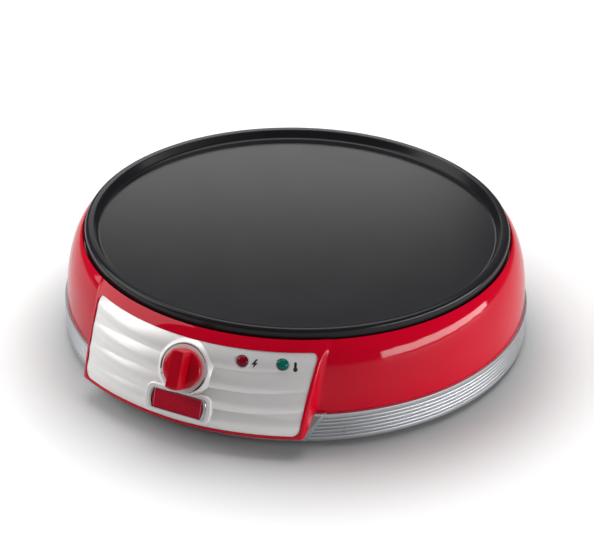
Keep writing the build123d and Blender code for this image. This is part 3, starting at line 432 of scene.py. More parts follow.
def seal(weld=0.0):
    """Welds what is nearer than that, in millimetres, turns the faces outwards and ends editing."""
    bpy.ops.mesh.select_all(action="SELECT")
    if weld:
        bpy.ops.mesh.remove_doubles(threshold=weld * MM)
    bpy.ops.mesh.normals_make_consistent(inside=False)
    bpy.ops.object.mode_set(mode="OBJECT")


last_row, last_column = rows_r.shape[0] - 1, rows_r.shape[1] - 1
housing = add("upper_housing", "grid", x_subdivisions=last_column, y_subdivisions=last_row, size=1)
flat = np.empty(len(housing.data.vertices) * 3)
housing.data.vertices.foreach_get("co", flat)
flat = flat.reshape(-1, 3)
column = np.rint((flat[:, 0] + 0.5) * last_column).astype(int)
row = np.rint((flat[:, 1] + 0.5) * last_row).astype(int)
r, z, a = rows_r[row, column], rows_z[row, column], rows_a[row, column]
skin = np.stack([r * np.sin(a) * MM, -r * np.cos(a) * MM + AXIS_Y, z * MM], axis=1)
housing.data.vertices.foreach_set("co", skin.ravel())
edit(housing)
seal(0.002)


def draw(name, points, closed=True, filled=False):
    """Pulls a vertex from point to point in the plane x-z through the plate's axis, in millimetres."""
    piece = add(name, "plane", size=MM)
    edit(piece)
    bpy.ops.mesh.select_all(action="SELECT")
    bpy.ops.mesh.merge(type="CENTER")
    last = Vector()
    for number, (x, z) in enumerate(points):
        here = Vector((x, 0, z)) * MM + AXIS
        if number:
            bpy.ops.mesh.extrude_region_move(TRANSFORM_OT_translate={"value": here - last})
        else:
            bpy.ops.transform.translate(value=here - last)
        last = here
    if closed:
        pick(piece, "verts", lambda vert: len(vert.link_edges) < 2)
        bpy.ops.mesh.edge_face_add()
    bpy.ops.mesh.select_mode(type="VERT")
    bpy.ops.mesh.select_all(action="SELECT")
    if filled:
        bpy.ops.mesh.edge_face_add()
    return piece


def turn(piece, steps, angle=2 * pi, start=0.0, centre=AXIS):
    """Spins the drawn outline about an upright axis."""
    if start:
        bpy.ops.transform.rotate(value=-start, orient_axis="Z", center_override=AXIS)
    bpy.ops.mesh.spin(steps=steps, angle=angle, center=centre, axis=(0, 0, 1), use_auto_merge=True)
    seal(0.001)
    return piece


def carve(piece, tool, how="DIFFERENCE"):
    """Cuts, joins or trims the piece with a tool, which is used up."""
    choose(piece)
    modify(piece, "carve", "BOOLEAN", operation=how, solver="EXACT", object=tool)
    bpy.data.objects.remove(tool)


def panel_prism(name, grow):
    """The panel's outline, a slight trapezium with round corners, pushed through the block."""
    low, high = PANEL_HALF_BOTTOM + grow, PANEL_HALF_TOP + grow
    z0, z1 = FACE_BOTTOM_Z - grow, FACE_TOP_Z + grow
    prism = draw(name, ((-low, z0), (low, z0), (high, z1), (-high, z1)), filled=True)
    bpy.ops.mesh.bevel(offset=(PANEL_CORNER_R + grow) * MM, segments=8, affect="VERTICES")
    bpy.ops.mesh.select_all(action="SELECT")
    bpy.ops.transform.translate(value=(0, PRISM_START * MM, 0))
    bpy.ops.mesh.extrude_region_move(TRANSFORM_OT_translate={"value": (0, PRISM_LENGTH * MM, 0)})
    seal()
    return prism


def face_sheet(name, low, high, count=24):
    """A curved sheet between two lifts off the block's face, across its whole front."""
    levels = np.linspace(FACE_BOTTOM_Z - 4, FACE_TOP_Z + 4, count)
    outline = [(face_r(z, low), z) for z in levels] + [(face_r(z, high), z) for z in levels[::-1]]
    sweep, start = radians(2 * FACE_HALF_ANGLE), radians(FACE_HALF_ANGLE - 90)
    return turn(draw(name, outline, filled=True), 48, sweep, start)


recess = face_sheet("recess", -RECESS_DEPTH, 8.0)
carve(recess, panel_prism("recess_outline", RECESS_GAP), "INTERSECT")
carve(housing, recess)

red = Finish("red_gloss", (0.61, 0.0, 0.018), Roughness=0.05, Specular_IOR_Level=0.2)
flow, peel = red.noise(60.0, 2.0), red.noise(3.0, 1.0)
red.feed(
    Base_Color=red.blend(flow, (0.57, 0.0, 0.016), (0.65, 0.0, 0.020)),
    Roughness=red.between(peel, 0.035, 0.065),
)
red.grain(peel, 0.01, 0.1)
finished(housing, red, "crepe_maker", "upper_housing", slot="red_shell")


# ------------------------------------------------------------------ base tub
# A silver-painted moulding: six grooves round its band leave rounded ribs, a smooth chin closes the
# control block from below, and the floor has cooling slots and the wells of the tie screws.
FOOT_H, FLOOR_Z, DISH_Z = 3.0, 5.5, 56.4
RIB_TOP, RIB_PITCH, RIB_DEPTH, GROOVE_COUNT = 3.3, 2.8, 0.9, 6
LAND_IN, LAND_NEAR, LAND_FAR = 0.2, 0.35, 0.9
TONGUE_R, TONGUE_TOP_R, TONGUE_Z = 159.0, 161.1, 27.5
FLOOR_RINGS, TUB_ROUND = (40.0, 92.0, 138.0), 1.8
CHIN_HALF_ANGLE, CHIN_INNER_R, CHIN_TOP_R, CHIN_FOOT_R = 40, 161.2, 164.4, 163.9
PILLAR_R, SCREW_WELL_R, SCREW_HOLE_R = 6.2, 4.5, 2.3
GATE_SIZE, GATE_Z, GATE_TURN = (0.5, 1.6, 6.5), 11.8, 37.0
TIE_RING_R, TIE_ANGLES = 116.0, (90, 210, 330)
VENT_RING_R, VENT_LENGTH, VENT_WIDTH, VENT_COUNT = 62.0, 26.0, 3.2, 14
INLET_Z, INLET_R, POCKET_W = 14.0, 6.0, 18.2


def groove_z(number):
    return PARTING_Z - RIB_TOP - number * RIB_PITCH


def bend(x, z, radius, angles, rise=None):
    """Points of an arc about x, z, or of an ellipse of that rise, at angles in degrees."""
    rise = rise or radius
    return [(x + radius * cos(radians(a)), z + rise * sin(radians(a))) for a in angles]


band = [(0, FLOOR_Z), *((r, FLOOR_Z) for r in FLOOR_RINGS), (TONGUE_R, FLOOR_Z)]
band += [(TONGUE_R, TONGUE_Z), (TONGUE_TOP_R, TONGUE_Z), (TONGUE_TOP_R, PARTING_Z)]
band += [(BAND_R - 0.5, PARTING_Z), (BAND_R - 0.12, PARTING_Z - 0.12), (BAND_R, PARTING_Z - 0.5)]
first_z, below_z = groove_z(0), groove_z(GROOVE_COUNT)
band += [(BAND_R, first_z + LAND_FAR), (BAND_R - LAND_IN, first_z + LAND_NEAR)]
band.append((BAND_R - RIB_DEPTH, first_z))
for number in range(1, GROOVE_COUNT):
    for share in (0.06, 0.14, 0.24, 0.36, 0.5, 0.64, 0.76, 0.86, 0.94, 1.0):
        bulge = 1 - abs(2 * share - 1) ** 3 if share < 1 else 0
        height = groove_z(number) + RIB_PITCH * (1 - share)
        band.append((BAND_R - RIB_DEPTH * (1 - bulge), height))
band += [(BAND_R - LAND_IN, below_z + RIB_PITCH - LAND_NEAR), (BAND_R, below_z + RIB_PITCH - LAND_FAR)]
band += bend(BAND_R - TUB_ROUND, FOOT_H + TUB_ROUND, TUB_ROUND, (0, -22, -45, -68, -90))
band += [*((r, FOOT_H) for r in FLOOR_RINGS[::-1]), (0, FOOT_H)]
base = turn(draw("base_tub", band, closed=False), 320)

levels = [(r, sweep_z(r) - 0.5) for r in np.linspace(CHIN_TOP_R, face_r(LIP_Z) - BEZEL_ROUND, 14)]
tip_r, tip_z = levels[-1]
chin_outline = [(CHIN_INNER_R, PARTING_Z), (CHIN_TOP_R, PARTING_Z)] + levels
chin_outline += [(tip_r - 1.0, tip_z - 1.4), (CHIN_FOOT_R, FOOT_H + 0.05), (CHIN_INNER_R, FOOT_H + 0.05)]
chin = draw("chin", chin_outline, filled=True)
turn(chin, 64, radians(2 * CHIN_HALF_ANGLE), radians(CHIN_HALF_ANGLE - 90))
undercut, yaw = radians(23.9), radians(10.0)
for side in (-1, 1):
    y = 1.5 - SIDE_REF_Y
    half = PANEL_HALF_BOTTOM + BEZEL_W + (y + SIDE_REF_Y) * tan(TOE_IN) + 0.4
    edit(chin)
    bpy.ops.mesh.select_all(action="SELECT")
    bpy.ops.mesh.bisect(
        plane_co=AXIS + Vector((side * half, y, LIP_Z + 4.8)) * MM,
        plane_no=(side * cos(undercut) * cos(yaw), -cos(undercut) * sin(yaw), -sin(undercut)),
        use_fill=True, clear_outer=True,
    )
    bpy.ops.object.mode_set(mode="OBJECT")
carve(base, chin, "UNION")


def post(name, r, z0, z1, x, y, corners=48):
    """A round post on the plate's axes, in millimetres."""
    return add(name, "cylinder", vertices=corners, radius=r * MM, depth=(z1 - z0) * MM,
               location=AXIS + Vector((x, y, (z0 + z1) / 2)) * MM)


def box(name, size, x, y, z, turned=0.0):
    """A box by its middle, in millimetres, turned about the plate's axis."""
    piece = add(name, "cube", size=MM, location=Vector((x, y, z)) * MM, scale=size)
    piece.data.transform(Matrix.Translation(AXIS) @ Matrix.Rotation(radians(turned), 4, "Z"))
    return piece


for x, y in bend(0, 0, TIE_RING_R, TIE_ANGLES):
    carve(base, post("pillar", PILLAR_R, FLOOR_Z - 1, DISH_Z, x, y), "UNION")
    carve(base, post("screw_well", SCREW_WELL_R, 0, 40.0, x, y))
    carve(base, post("screw_hole", SCREW_HOLE_R, 30, 60, x, y, 24))
for number in range(VENT_COUNT):
    slot_turn = 360 * number / VENT_COUNT
    carve(base, box("vent", (VENT_LENGTH, VENT_WIDTH, 12), VENT_RING_R, 0, 4, slot_turn))
carve(base, box("inlet_pocket", (POCKET_W, 6.0, POCKET_W), 0, BAND_R - 1.6 + 3.0, INLET_Z))
carve(base, box("gate_mark", GATE_SIZE, 0, -BAND_R, GATE_Z, GATE_TURN))

silver = Finish("silver_paint", (0.50, 0.515, 0.535), Metallic=0.85, Roughness=0.4)
flake, cloud = silver.noise(0.25, 1.0), silver.noise(30.0, 2.0)
silver.feed(
    Base_Color=silver.blend(flake * 0.6 + cloud * 0.4, (0.46, 0.475, 0.495), (0.54, 0.555, 0.575)),
    Roughness=silver.between(flake, 0.38, 0.45),
)
silver.grain(flake, 0.004, 0.07)
finished(base, silver, "crepe_maker", "base_tub", angle=40.0, slot="silver_band")


# ------------------------------------------------------------------ control panel
# A moulded fascia in satin silver lacquer: four shallow convex bands that die out towards both
# ends, a raised round dial, a pad for the badge and two dished seats for the lamps.
SCALLOP_COUNT, SCALLOP_H, SCALLOP_SHIFT, SCALLOP_LIFT = 4, 1.0, 8.2, 0.2
PANEL_T = 2.2
DIAL_R, DIAL_H, DIAL_SINK = 17.4, 2.0, 1
BADGE_LENGTH, BADGE_HEIGHT, BADGE_CORNER_R, BADGE_BOW, BADGE_PAD_H = 42.0, 14.4, 1.8, 1.5, 2.2
PAD_MARGIN = 3.2
KNOB_Z, BADGE_Z, LAMP_Z, LAMP_XS = 50.0, 27.9, 60.8, (37.0, 62.1)
DISH_R, DISH_DEPTH = 6.2, 1.5
well_floor = BADGE_PAD_H - 0.9


def face_place(x, z, lift=0.0):
    """The frame on the block's face at x, z: its z points outwards and its y up the face."""
    r = face_r(z)
    swing, tilt = asin(x / r), asin((z - FACE_CZ) / FACE_R)
    normal = Vector((sin(swing) * cos(tilt), -cos(swing) * cos(tilt), sin(tilt)))
    across = Vector((cos(swing), sin(swing), 0))
    origin = AXIS + (Vector((x, -r * cos(swing), z)) + normal * lift) * MM
    facing = Matrix((across, normal.cross(across), normal)).transposed()
    return Matrix.Translation(origin) @ facing.to_4x4()


def bowed_plate(name, length, height, bow, corner, low, high):
    """A flat plate with bowed ends and round corners, lying on its own x-y plane, in millimetres."""
    half, up = length / 2, height / 2
    slope = atan2(2 * bow * (up - corner), up * up)
    meet = up - corner + corner * sin(slope)
    centre = half - bow * (meet / up) ** 2 - corner * cos(slope)
    quarter = [(centre + corner * cos(a), up - corner + corner * sin(a))
               for a in np.linspace(pi / 2, slope, 7)]
    quarter += [(half - bow * (z / up) ** 2, z) for z in np.linspace(meet, 0, 5)[1:]]
    end = quarter + [(x, -z) for x, z in quarter[-2::-1]]
    piece = draw(name, end + [(-x, -z) for x, z in end], filled=True)
    bpy.ops.mesh.select_all(action="SELECT")
    bpy.ops.mesh.extrude_region_move(TRANSFORM_OT_translate={"value": (0, (low - high) * MM, 0)})
    seal()
    lying = Matrix.Rotation(radians(-90), 4, "X") @ Matrix.Translation(-AXIS)
    piece.data.transform(Matrix.Translation((0, 0, low * MM)) @ lying)
    return piece


def round_edges(piece, width, segments=3, angle=40.0):
    """Rounds the edges that are sharper than the angle."""
    choose(piece)
    modify(piece, "round", "BEVEL", width=width * MM, segments=segments, limit_method="ANGLE",
           angle_limit=radians(angle))


def round_top(piece, width):
    """Rounds the edge of the piece's top face."""
    edit(piece)
    pick(piece, "faces", faces_up)
    bpy.ops.mesh.bevel(offset=width * MM, segments=3)
    bpy.ops.object.mode_set(mode="OBJECT")


scallop = []
pitch = (FACE_TOP_Z - FACE_BOTTOM_Z) / SCALLOP_COUNT
shift = SCALLOP_LIFT - SCALLOP_SHIFT
for number in range(SCALLOP_COUNT):
    for share in np.linspace(0, 1, 9)[:-1]:
        z = FACE_BOTTOM_Z + (number + share) * pitch
        scallop.append((face_r(z, 4 * SCALLOP_H * share * (1 - share)) + shift, z))
scallop.append((face_r(FACE_TOP_Z) + shift, FACE_TOP_Z))
scallop += [(face_r(z, -1.6) + shift, z) for z in np.linspace(FACE_TOP_Z, FACE_BOTTOM_Z, 9)]
panel = draw("control_panel", scallop, filled=True)
bpy.ops.transform.translate(value=(0, -SCALLOP_SHIFT * MM, 0))
forward_axis = AXIS - Vector((0, SCALLOP_SHIFT * MM, 0))
bpy.ops.transform.rotate(value=radians(90 - FACE_HALF_ANGLE), orient_axis="Z", center_override=forward_axis)
turn(panel, 96, radians(2 * FACE_HALF_ANGLE), centre=forward_axis)
carve(panel, panel_prism("scallop_outline", 0.0), "INTERSECT")
sheet = face_sheet("sheet", -PANEL_T, 0.0, 40)
carve(sheet, panel_prism("sheet_outline", 0.0), "INTERSECT")
carve(panel, sheet, "UNION")

dial = add("dial", "cone", vertices=128, radius1=(DIAL_R + DIAL_H + DIAL_SINK) * MM, radius2=DIAL_R * MM,
           depth=(DIAL_H + DIAL_SINK) * MM, location=(0, 0, (DIAL_H - DIAL_SINK) / 2 * MM))
round_edges(dial, 0.5)
dial.data.transform(face_place(0, KNOB_Z))
carve(dial, panel_prism("dial_outline", 0.0), "INTERSECT")
carve(panel, dial, "UNION")
pad = bowed_plate("pad", BADGE_LENGTH + 2 * PAD_MARGIN, BADGE_HEIGHT + 1.6 * PAD_MARGIN, BADGE_BOW + 0.6,
                  BADGE_CORNER_R + PAD_MARGIN, -1, BADGE_PAD_H)
round_top(pad, 1.0)
pad.data.transform(face_place(0, BADGE_Z))
carve(panel, pad, "UNION")
well = bowed_plate("badge_well", BADGE_LENGTH + 0.2, BADGE_HEIGHT + 0.2, BADGE_BOW, BADGE_CORNER_R,
                   well_floor, 5.3)
well.data.transform(face_place(0, BADGE_Z))
carve(panel, well)
ball_r = (DISH_R**2 + DISH_DEPTH**2) / (2 * DISH_DEPTH)
for x in LAMP_XS:
    ball = add("dish", "uv_sphere", segments=96, ring_count=64, radius=ball_r * MM,
               location=(0, 0, (SCALLOP_H + ball_r - DISH_DEPTH) * MM))
    ball.data.transform(face_place(x, LAMP_Z))
    carve(panel, ball)

lacquer = Finish("pearl_lacquer", (0.92, 0.905, 0.89), Metallic=0.28, Roughness=0.36, Coat_Weight=0.3,
                 Coat_Roughness=0.05)
flake, cloud = lacquer.noise(0.2, 1.0), lacquer.noise(45.0, 2.0)
lacquer.feed(
    Base_Color=lacquer.blend(flake * 0.5 + cloud * 0.5, (0.89, 0.875, 0.86), (0.95, 0.935, 0.92)),
    Roughness=lacquer.between(flake, 0.32, 0.4),
)
lacquer.grain(flake, 0.008, 0.2)
finished(panel, lacquer, "crepe_maker", "control_panel", angle=20.0, slot="fascia_grey")


# ------------------------------------------------------------------ badge
# A chromed frame with a red plate of fine pressed ribs inside it. Both sit in a shallow well of the
# panel's pad, and the frame stands a little proud of the plate.
FRAME_END, FRAME_SIDE = 2.3, 0.75
STRIPE_PITCH, BORDER_X, BORDER_HALF = 1.28, 17.2, 0.22
inner_length, inner_height = BADGE_LENGTH - 2 * FRAME_END, BADGE_HEIGHT - 2 * FRAME_SIDE


def resize_top(piece, along, across):
    """Widens or narrows the top face about the piece's own middle."""
    edit(piece)
    pick(piece, "faces", faces_up)
    bpy.ops.transform.resize(value=(along, across, 1), center_override=(0, 0, 0))
    bpy.ops.object.mode_set(mode="OBJECT")


bezel = bowed_plate("badge_bezel", BADGE_LENGTH, BADGE_HEIGHT, BADGE_BOW, BADGE_CORNER_R,
                    well_floor, well_floor + 1.5)
opening = bowed_plate("opening", inner_length, inner_height, BADGE_BOW, 1.2, well_floor - 1, well_floor + 2)
resize_top(opening, 1.04, 1.03)
round_top(bezel, 0.35)
carve(bezel, opening)
bezel.data.transform(face_place(0, BADGE_Z))
chrome = Finish("chrome_plating", (0.52, 0.52, 0.54), Metallic=1.0, Roughness=0.08)
haze = chrome.noise(6.0, 3.0)
chrome.feed(
    Roughness=chrome.between(haze, 0.05, 0.14),
    Base_Color=chrome.blend(haze, (0.46, 0.46, 0.48), (0.58, 0.58, 0.59)),
)
chrome.grain(haze, 0.01, 0.1)
finished(bezel, chrome, "crepe_maker", "badge_bezel", slot="chrome_trim")

badge = bowed_plate("badge_plate", inner_length - 0.2, inner_height - 0.2, BADGE_BOW, 1.15,
                    well_floor + 0.02, well_floor + 1.05)
badge.data.transform(face_place(0, BADGE_Z))
badge_paint = Finish("badge_enamel", (0.33, 0.0, 0.012), Roughness=0.4, Specular_IOR_Level=0.2)
tilt = asin((BADGE_Z - FACE_CZ) / FACE_R)
up_face = badge_paint.measure("DOT_PRODUCT", (0, sin(tilt), cos(tilt)))
stripe = (up_face * (2 * pi / (STRIPE_PITCH * MM))).math("SINE")
stripe = stripe * 0.5 + 0.5
across = badge_paint.node("SeparateXYZ", {}, {0: badge_paint.place}, "X").math("ABSOLUTE")
border = (across - BORDER_X * MM).math("ABSOLUTE").math("LESS_THAN", BORDER_HALF * MM)
# Each rib's colour runs from dark in its groove to light on its crest: painted shade and painted highlight
# that go with the rib relief of the bump below.
rib_colour_painted_shade = badge_paint.blend(stripe.math("POWER", 0.6), (0.20, 0.0, 0.008), (0.72, 0.0, 0.03))
badge_paint.feed(
    Base_Color=badge_paint.blend(border * 0.6, rib_colour_painted_shade, (0.75, 0.30, 0.30)),
    Roughness=badge_paint.between(stripe, 0.45, 0.3),
)
badge_paint.grain(stripe, 0.15, 0.6)
finished(badge, badge_paint, "crepe_maker", "badge_plate", slot="badge_red")


# ------------------------------------------------------------------ lamps
# Two clear coloured lens domes pushed into the panel, red for power and green for ready, each lit
# from behind by a small neon lamp.
LENS_R, LENS_RISE, LENS_DEPTH, LENS_GLOW_R = 4.0, 2.6, 6.5, 4.6
lens_top = SCALLOP_H - DISH_DEPTH + LENS_RISE


def lens_dome(name, x):
    outline = [(0, -LENS_DEPTH), (LENS_R, -LENS_DEPTH)]
    outline += bend(0, lens_top - LENS_RISE, LENS_R, range(0, 91, 9), LENS_RISE)
    piece = turn(draw(name, outline, closed=False), 64)
    piece.data.transform(face_place(x, LAMP_Z) @ Matrix.Translation(-AXIS))
    return piece


for name, x, rim_shade_colour, bright, slot in (
    ("power_lens", LAMP_XS[0], (0.02, 0.0, 0.001), (0.32, 0.0, 0.012), "lens_red"),
    ("ready_lens", LAMP_XS[1], (0.0, 0.015, 0.012), (0.0, 0.19, 0.14), "lens_green"),
):
    glass = Finish(name + "_plastic", rim_shade_colour, Roughness=0.05, Specular_IOR_Level=0.22)
    crest = tuple(face_place(x, LAMP_Z, lens_top).translation)
    # The lens's colour is painted lighter at its crest and darker towards its rim: painted light through
    # the dome and painted shade at its edge.
    out = glass.measure("DISTANCE", crest) * (1 / (LENS_GLOW_R * MM))
    painted_glow_core = 1 - out * out
    ripple = glass.noise(1.6, 2.0)
    glass.feed(
        Base_Color=glass.blend(painted_glow_core * glass.between(ripple, 0.7, 1.1), rim_shade_colour, bright),
        Roughness=glass.between(ripple, 0.03, 0.08),
    )
    glass.grain(ripple, 0.02, 0.2)
    finished(lens_dome(name, x), glass, "crepe_maker", name, slot=slot)


# ------------------------------------------------------------------ control knob
# Moulded in the same red: a low disc with a full-length grip bar, its walls leaning in and its
# ends rounded. It turns with the thermostat's spindle.
KNOB_R, KNOB_FOOT, DISC_TOP, DISC_ROUND = 13.6, 2.6, 6.0, 1.2
BAR_TOP, BAR_WIDTH, BAR_SINK, BAR_TAPER = 15.6, 12.0, 0.2, 0.72
profile = [(0, KNOB_FOOT), (KNOB_R - 0.4, KNOB_FOOT), (KNOB_R, KNOB_FOOT + 0.4)]
profile.append((KNOB_R, DISC_TOP - DISC_ROUND))
profile += bend(KNOB_R - DISC_ROUND, DISC_TOP - DISC_ROUND, DISC_ROUND, (20, 40, 60, 75))
for share in np.linspace(0.06, 1, 9):
    crowning = DISC_ROUND * sqrt(1 - (1 - share) ** 2) * 0.9
    profile.append(((KNOB_R - DISC_ROUND) * (1 - share), DISC_TOP + crowning))
knob = turn(draw("control_knob", profile, closed=False), 128)
knob.data.transform(Matrix.Translation(-AXIS))
bar = add("grip_bar", "cube", size=MM, location=(0, 0, (KNOB_FOOT + BAR_SINK + BAR_TOP) / 2 * MM),
          scale=(BAR_WIDTH, 2 * KNOB_R + 2, BAR_TOP - KNOB_FOOT - BAR_SINK))
resize_top(bar, BAR_TAPER, 1)
reach = add("bar_reach", "cylinder", vertices=128, radius=(KNOB_R - 0.02) * MM, depth=60 * MM)
carve(bar, reach, "INTERSECT")


def bar_end(edge):
    """Whether an edge runs across the bar's top at one of its ends."""
    high = all(v.co.z > (BAR_TOP - 0.1) * MM and abs(v.co.y) > 10 * MM for v in edge.verts)
    return high and abs(edge.verts[0].co.x - edge.verts[1].co.x) > 0.02 * MM


edit(bar)
pick(bar, "edges", bar_end)
bpy.ops.mesh.bevel(offset=3.6 * MM, segments=8, clamp_overlap=True)
bpy.ops.object.mode_set(mode="OBJECT")
round_edges(bar, 0.9, 4, 35.0)
carve(knob, bar, "UNION")
knob.data.transform(face_place(0, KNOB_Z))
knob_red = Finish("knob_red_gloss", (0.56, 0.0, 0.012), Roughness=0.2, Specular_IOR_Level=0.3)
peel = knob_red.noise(2.0, 2.0)
knob_red.feed(
    Base_Color=knob_red.blend(peel, (0.52, 0.0, 0.010), (0.60, 0.0, 0.016)),
    Roughness=knob_red.between(peel, 0.15, 0.24),
)
knob_red.grain(peel, 0.015, 0.2)
finished(knob, knob_red, "knob", "control_knob", slot="knob_red")


# ------------------------------------------------------------------ printed marks
# Pad-printed in black on the panel: the heat scale round the knob, and the signs for power and
# temperature beside the two lamps.
INK_STRIP, INK_LIFT, INK_DEPTH, SCALE_R = 0.6, 0.04, 0.03, 16.3


def print_mark(name, outlines, place):
    """Outlines in millimetres, filled, cut into fine strips and laid as a film of ink on the panel."""
    films = []
    for outline in outlines:
        film = draw(name, outline, filled=True)
        heights = [z for x, z in outline]
        for height in np.arange(min(heights) + INK_STRIP, max(heights), INK_STRIP):
            bpy.ops.mesh.select_all(action="SELECT")
            bpy.ops.mesh.bisect(plane_co=AXIS + Vector((0, 0, height * MM)), plane_no=(0, 0, 1))
        bpy.ops.object.mode_set(mode="OBJECT")
        film.data.transform(place @ Matrix.Rotation(radians(-90), 4, "X") @ Matrix.Translation(-AXIS))
        films.append(film)
    for film in films:
        film.select_set(True)
    if len(films) > 1:
        bpy.ops.object.join()
    piece = bpy.context.object
    modify(piece, "lay", "SHRINKWRAP", target=panel, wrap_mode="ABOVE_SURFACE", offset=INK_LIFT * MM)
    outward = place.to_3x3() @ Vector((0, 0, 1))
    if sum(face.normal.dot(outward) * face.area for face in piece.data.polygons) < 0:
        edit(piece)
        bpy.ops.mesh.select_all(action="SELECT")
        bpy.ops.mesh.flip_normals()
        bpy.ops.object.mode_set(mode="OBJECT")
    modify(piece, "ink_depth", "SOLIDIFY", thickness=INK_DEPTH * MM, offset=-1.0)
    return piece


def arc_outline(stops, radius):
    """The outline of an arc round the dial, its width given at angles in degrees."""
    angles = np.arange(stops[0][0], stops[-1][0] + 0.1, 3.0)
    halves = np.interp(angles, [a for a, w in stops], [w / 2 for a, w in stops])
    inner = [bend(0, 0, radius - w, [a])[0] for a, w in zip(angles, halves)]
    outer = [bend(0, 0, radius + w, [a])[0] for a, w in zip(angles, halves)]
    return inner + outer[::-1]


ink = Finish("black_ink", (0.012, 0.012, 0.013), Roughness=0.45)
screen = ink.noise(0.3, 2.0)
ink.feed(
    Base_Color=ink.blend(screen, (0.008, 0.008, 0.009), (0.02, 0.02, 0.021)),
    Roughness=ink.between(screen, 0.35, 0.55),
)
ink.grain(screen, 0.004, 0.3)

rising = [(26, 0.3), (45, 0.5), (90, 0.65), (130, 0.35), (160, 0.5), (185, 1.0), (196, 0.9)]
falling = [(-53, 0.5), (-40, 1.1), (-20, 0.95), (-7, 0.3)]
arcs = [arc_outline(stops, SCALE_R) for stops in (rising, falling)]
bolt = [(0.7, 3.2), (-2.1, -0.7), (-0.4, -0.5), (-1.3, -3.3), (2.1, 0.9), (0.4, 0.7), (1.9, 3.2)]
neck = [(-0.85, -1.0), (0.85, -1.0), (0.85, 2.4), (0.45, 3.1), (-0.45, 3.1), (-0.85, 2.4)]
drop = bend(0, -1.9, 1.5, range(0, 360, 24))
dots = [bend(*bend(0, 0, r, [a])[0], 0.45, range(0, 360, 45)) for a, r in ((205, 16.2), (-61, 16.8))]
for name, outlines, x, z, lift in (
    ("heat_scale", [*arcs, *dots], 0, KNOB_Z, DIAL_H + 0.1),
    ("power_sign", [bolt], 45.3, 60.0, 1.2),
    ("temperature_sign", [neck, drop], 70.0, 59.7, 1.2),
):
    finished(print_mark(name, outlines, face_place(x, z, lift)), ink, "crepe_maker")


# ------------------------------------------------------------------ mains inlet
# A black nylon bush clamped in the tub's rear wall by a hexagon nut; the cord of a real one would
# pass through it. Its flange is rounded, and it has a coarse thread under the nut.
INLET_BORE_R, INLET_FLANGE_R, INLET_FLANGE_T, INLET_LENGTH = 3.8, 8.6, 1.6, 12.0
INLET_WALL, INLET_NUT_H, NUT_CHAMFER, THREAD_DEPTH = 6.0, 4.0, 0.7, 0.45
inlet = AXIS + Vector((0, BAND_R - INLET_FLANGE_T, INLET_Z)) * MM
rearward = Matrix.Translation(inlet) @ Matrix.Rotation(radians(-90), 4, "X")

inner_end = INLET_FLANGE_T - INLET_LENGTH
outline = [(INLET_BORE_R + 0.6, inner_end), (INLET_R - 0.5, inner_end)]
for number in range(6):
    start = inner_end + 0.5 + number * 1.0
    outline += [(INLET_R - THREAD_DEPTH, start), (INLET_R, start + 0.35), (INLET_R, start + 0.5),
                (INLET_R - THREAD_DEPTH, start + 0.85)]
outline += [(INLET_R, -3.4), (INLET_R, 0), (INLET_FLANGE_R, 0)]
outline += bend(INLET_FLANGE_R - 1.0, INLET_FLANGE_T - 1.0, 1.0, (0, 30, 60, 90))
outline += [(INLET_BORE_R + 0.8, INLET_FLANGE_T), (INLET_BORE_R, INLET_FLANGE_T - 0.8)]
outline.append((INLET_BORE_R, inner_end + 0.6))
bush = turn(draw("inlet_bush", outline), 64)
bush.data.transform(rearward @ Matrix.Translation(-AXIS))

nylon = Finish("black_nylon", (0.018, 0.018, 0.02), Roughness=0.5)
pitting, wear = nylon.noise(0.5, 3.0), nylon.noise(9.0, 2.0)
nylon.feed(
    Base_Color=nylon.blend(wear, (0.012, 0.012, 0.013), (0.03, 0.03, 0.032)),
    Roughness=nylon.between(pitting, 0.42, 0.6),
)
nylon.grain(pitting, 0.03, 0.4)
finished(bush, nylon, "crepe_maker", "inlet_bush", slot="black_plastic")

nut_middle = (0, 0, (-INLET_WALL - INLET_NUT_H / 2) * MM)
nut = add("inlet_nut", "cylinder", vertices=6, radius=INLET_FLANGE_R * MM, depth=INLET_NUT_H * MM,
          location=nut_middle, rotation=(0, 0, radians(30)))
chamfer = add("chamfer", "cone", vertices=64, radius1=(INLET_FLANGE_R + INLET_NUT_H - NUT_CHAMFER) * MM,
              radius2=(INLET_FLANGE_R - NUT_CHAMFER) * MM, depth=INLET_NUT_H * MM, location=nut_middle,
              rotation=(pi, 0, 0))
carve(nut, chamfer, "INTERSECT")
carve(nut, add("bore", "cylinder", vertices=64, radius=(INLET_R + 0.15) * MM, depth=40 * MM))
nut.data.transform(rearward)
finished(nut, nylon, "crepe_maker", "inlet_nut", slot="black_plastic")


# ------------------------------------------------------------------ rubber feet
# Four soft black discs under the tub, moulded with a rounded tread and a dimple in the middle. They
# lift the cooling slots off the table and keep the appliance from sliding.
FOOT_R, FOOT_RING_R, TREAD_ROUND = 10.0, 134.0, 1.2
outline = [(0, FOOT_H), (FOOT_R - 0.6, FOOT_H)]
outline += bend(FOOT_R - TREAD_ROUND, TREAD_ROUND, TREAD_ROUND, (30, 0, -30, -60, -90))
outline += [(FOOT_R - 4.0, 0), (FOOT_R - 4.6, 0.6), (0, 0.6)]
foot = turn(draw("rubber_feet", outline, closed=False), 48)
edit(foot)
bpy.ops.mesh.select_all(action="SELECT")
first_x, first_y = bend(0, 0, FOOT_RING_R, [45])[0]
bpy.ops.transform.translate(value=(first_x * MM, first_y * MM, 0))
for number in range(3):
    bpy.ops.mesh.duplicate()
    bpy.ops.transform.rotate(value=radians(90), orient_axis="Z", center_override=AXIS)

rubber = Finish("foot_rubber", (0.02, 0.02, 0.02), Roughness=0.75)
dust = rubber.noise(2.5, 4.0)
rubber.feed(
    Base_Color=rubber.blend(dust, (0.014, 0.014, 0.014), (0.045, 0.044, 0.042)),
    Roughness=rubber.between(dust, 0.65, 0.85),
)
rubber.grain(dust, 0.05, 0.4)
finished(foot, rubber, "crepe_maker", "rubber_feet", slot="foot_rubber")


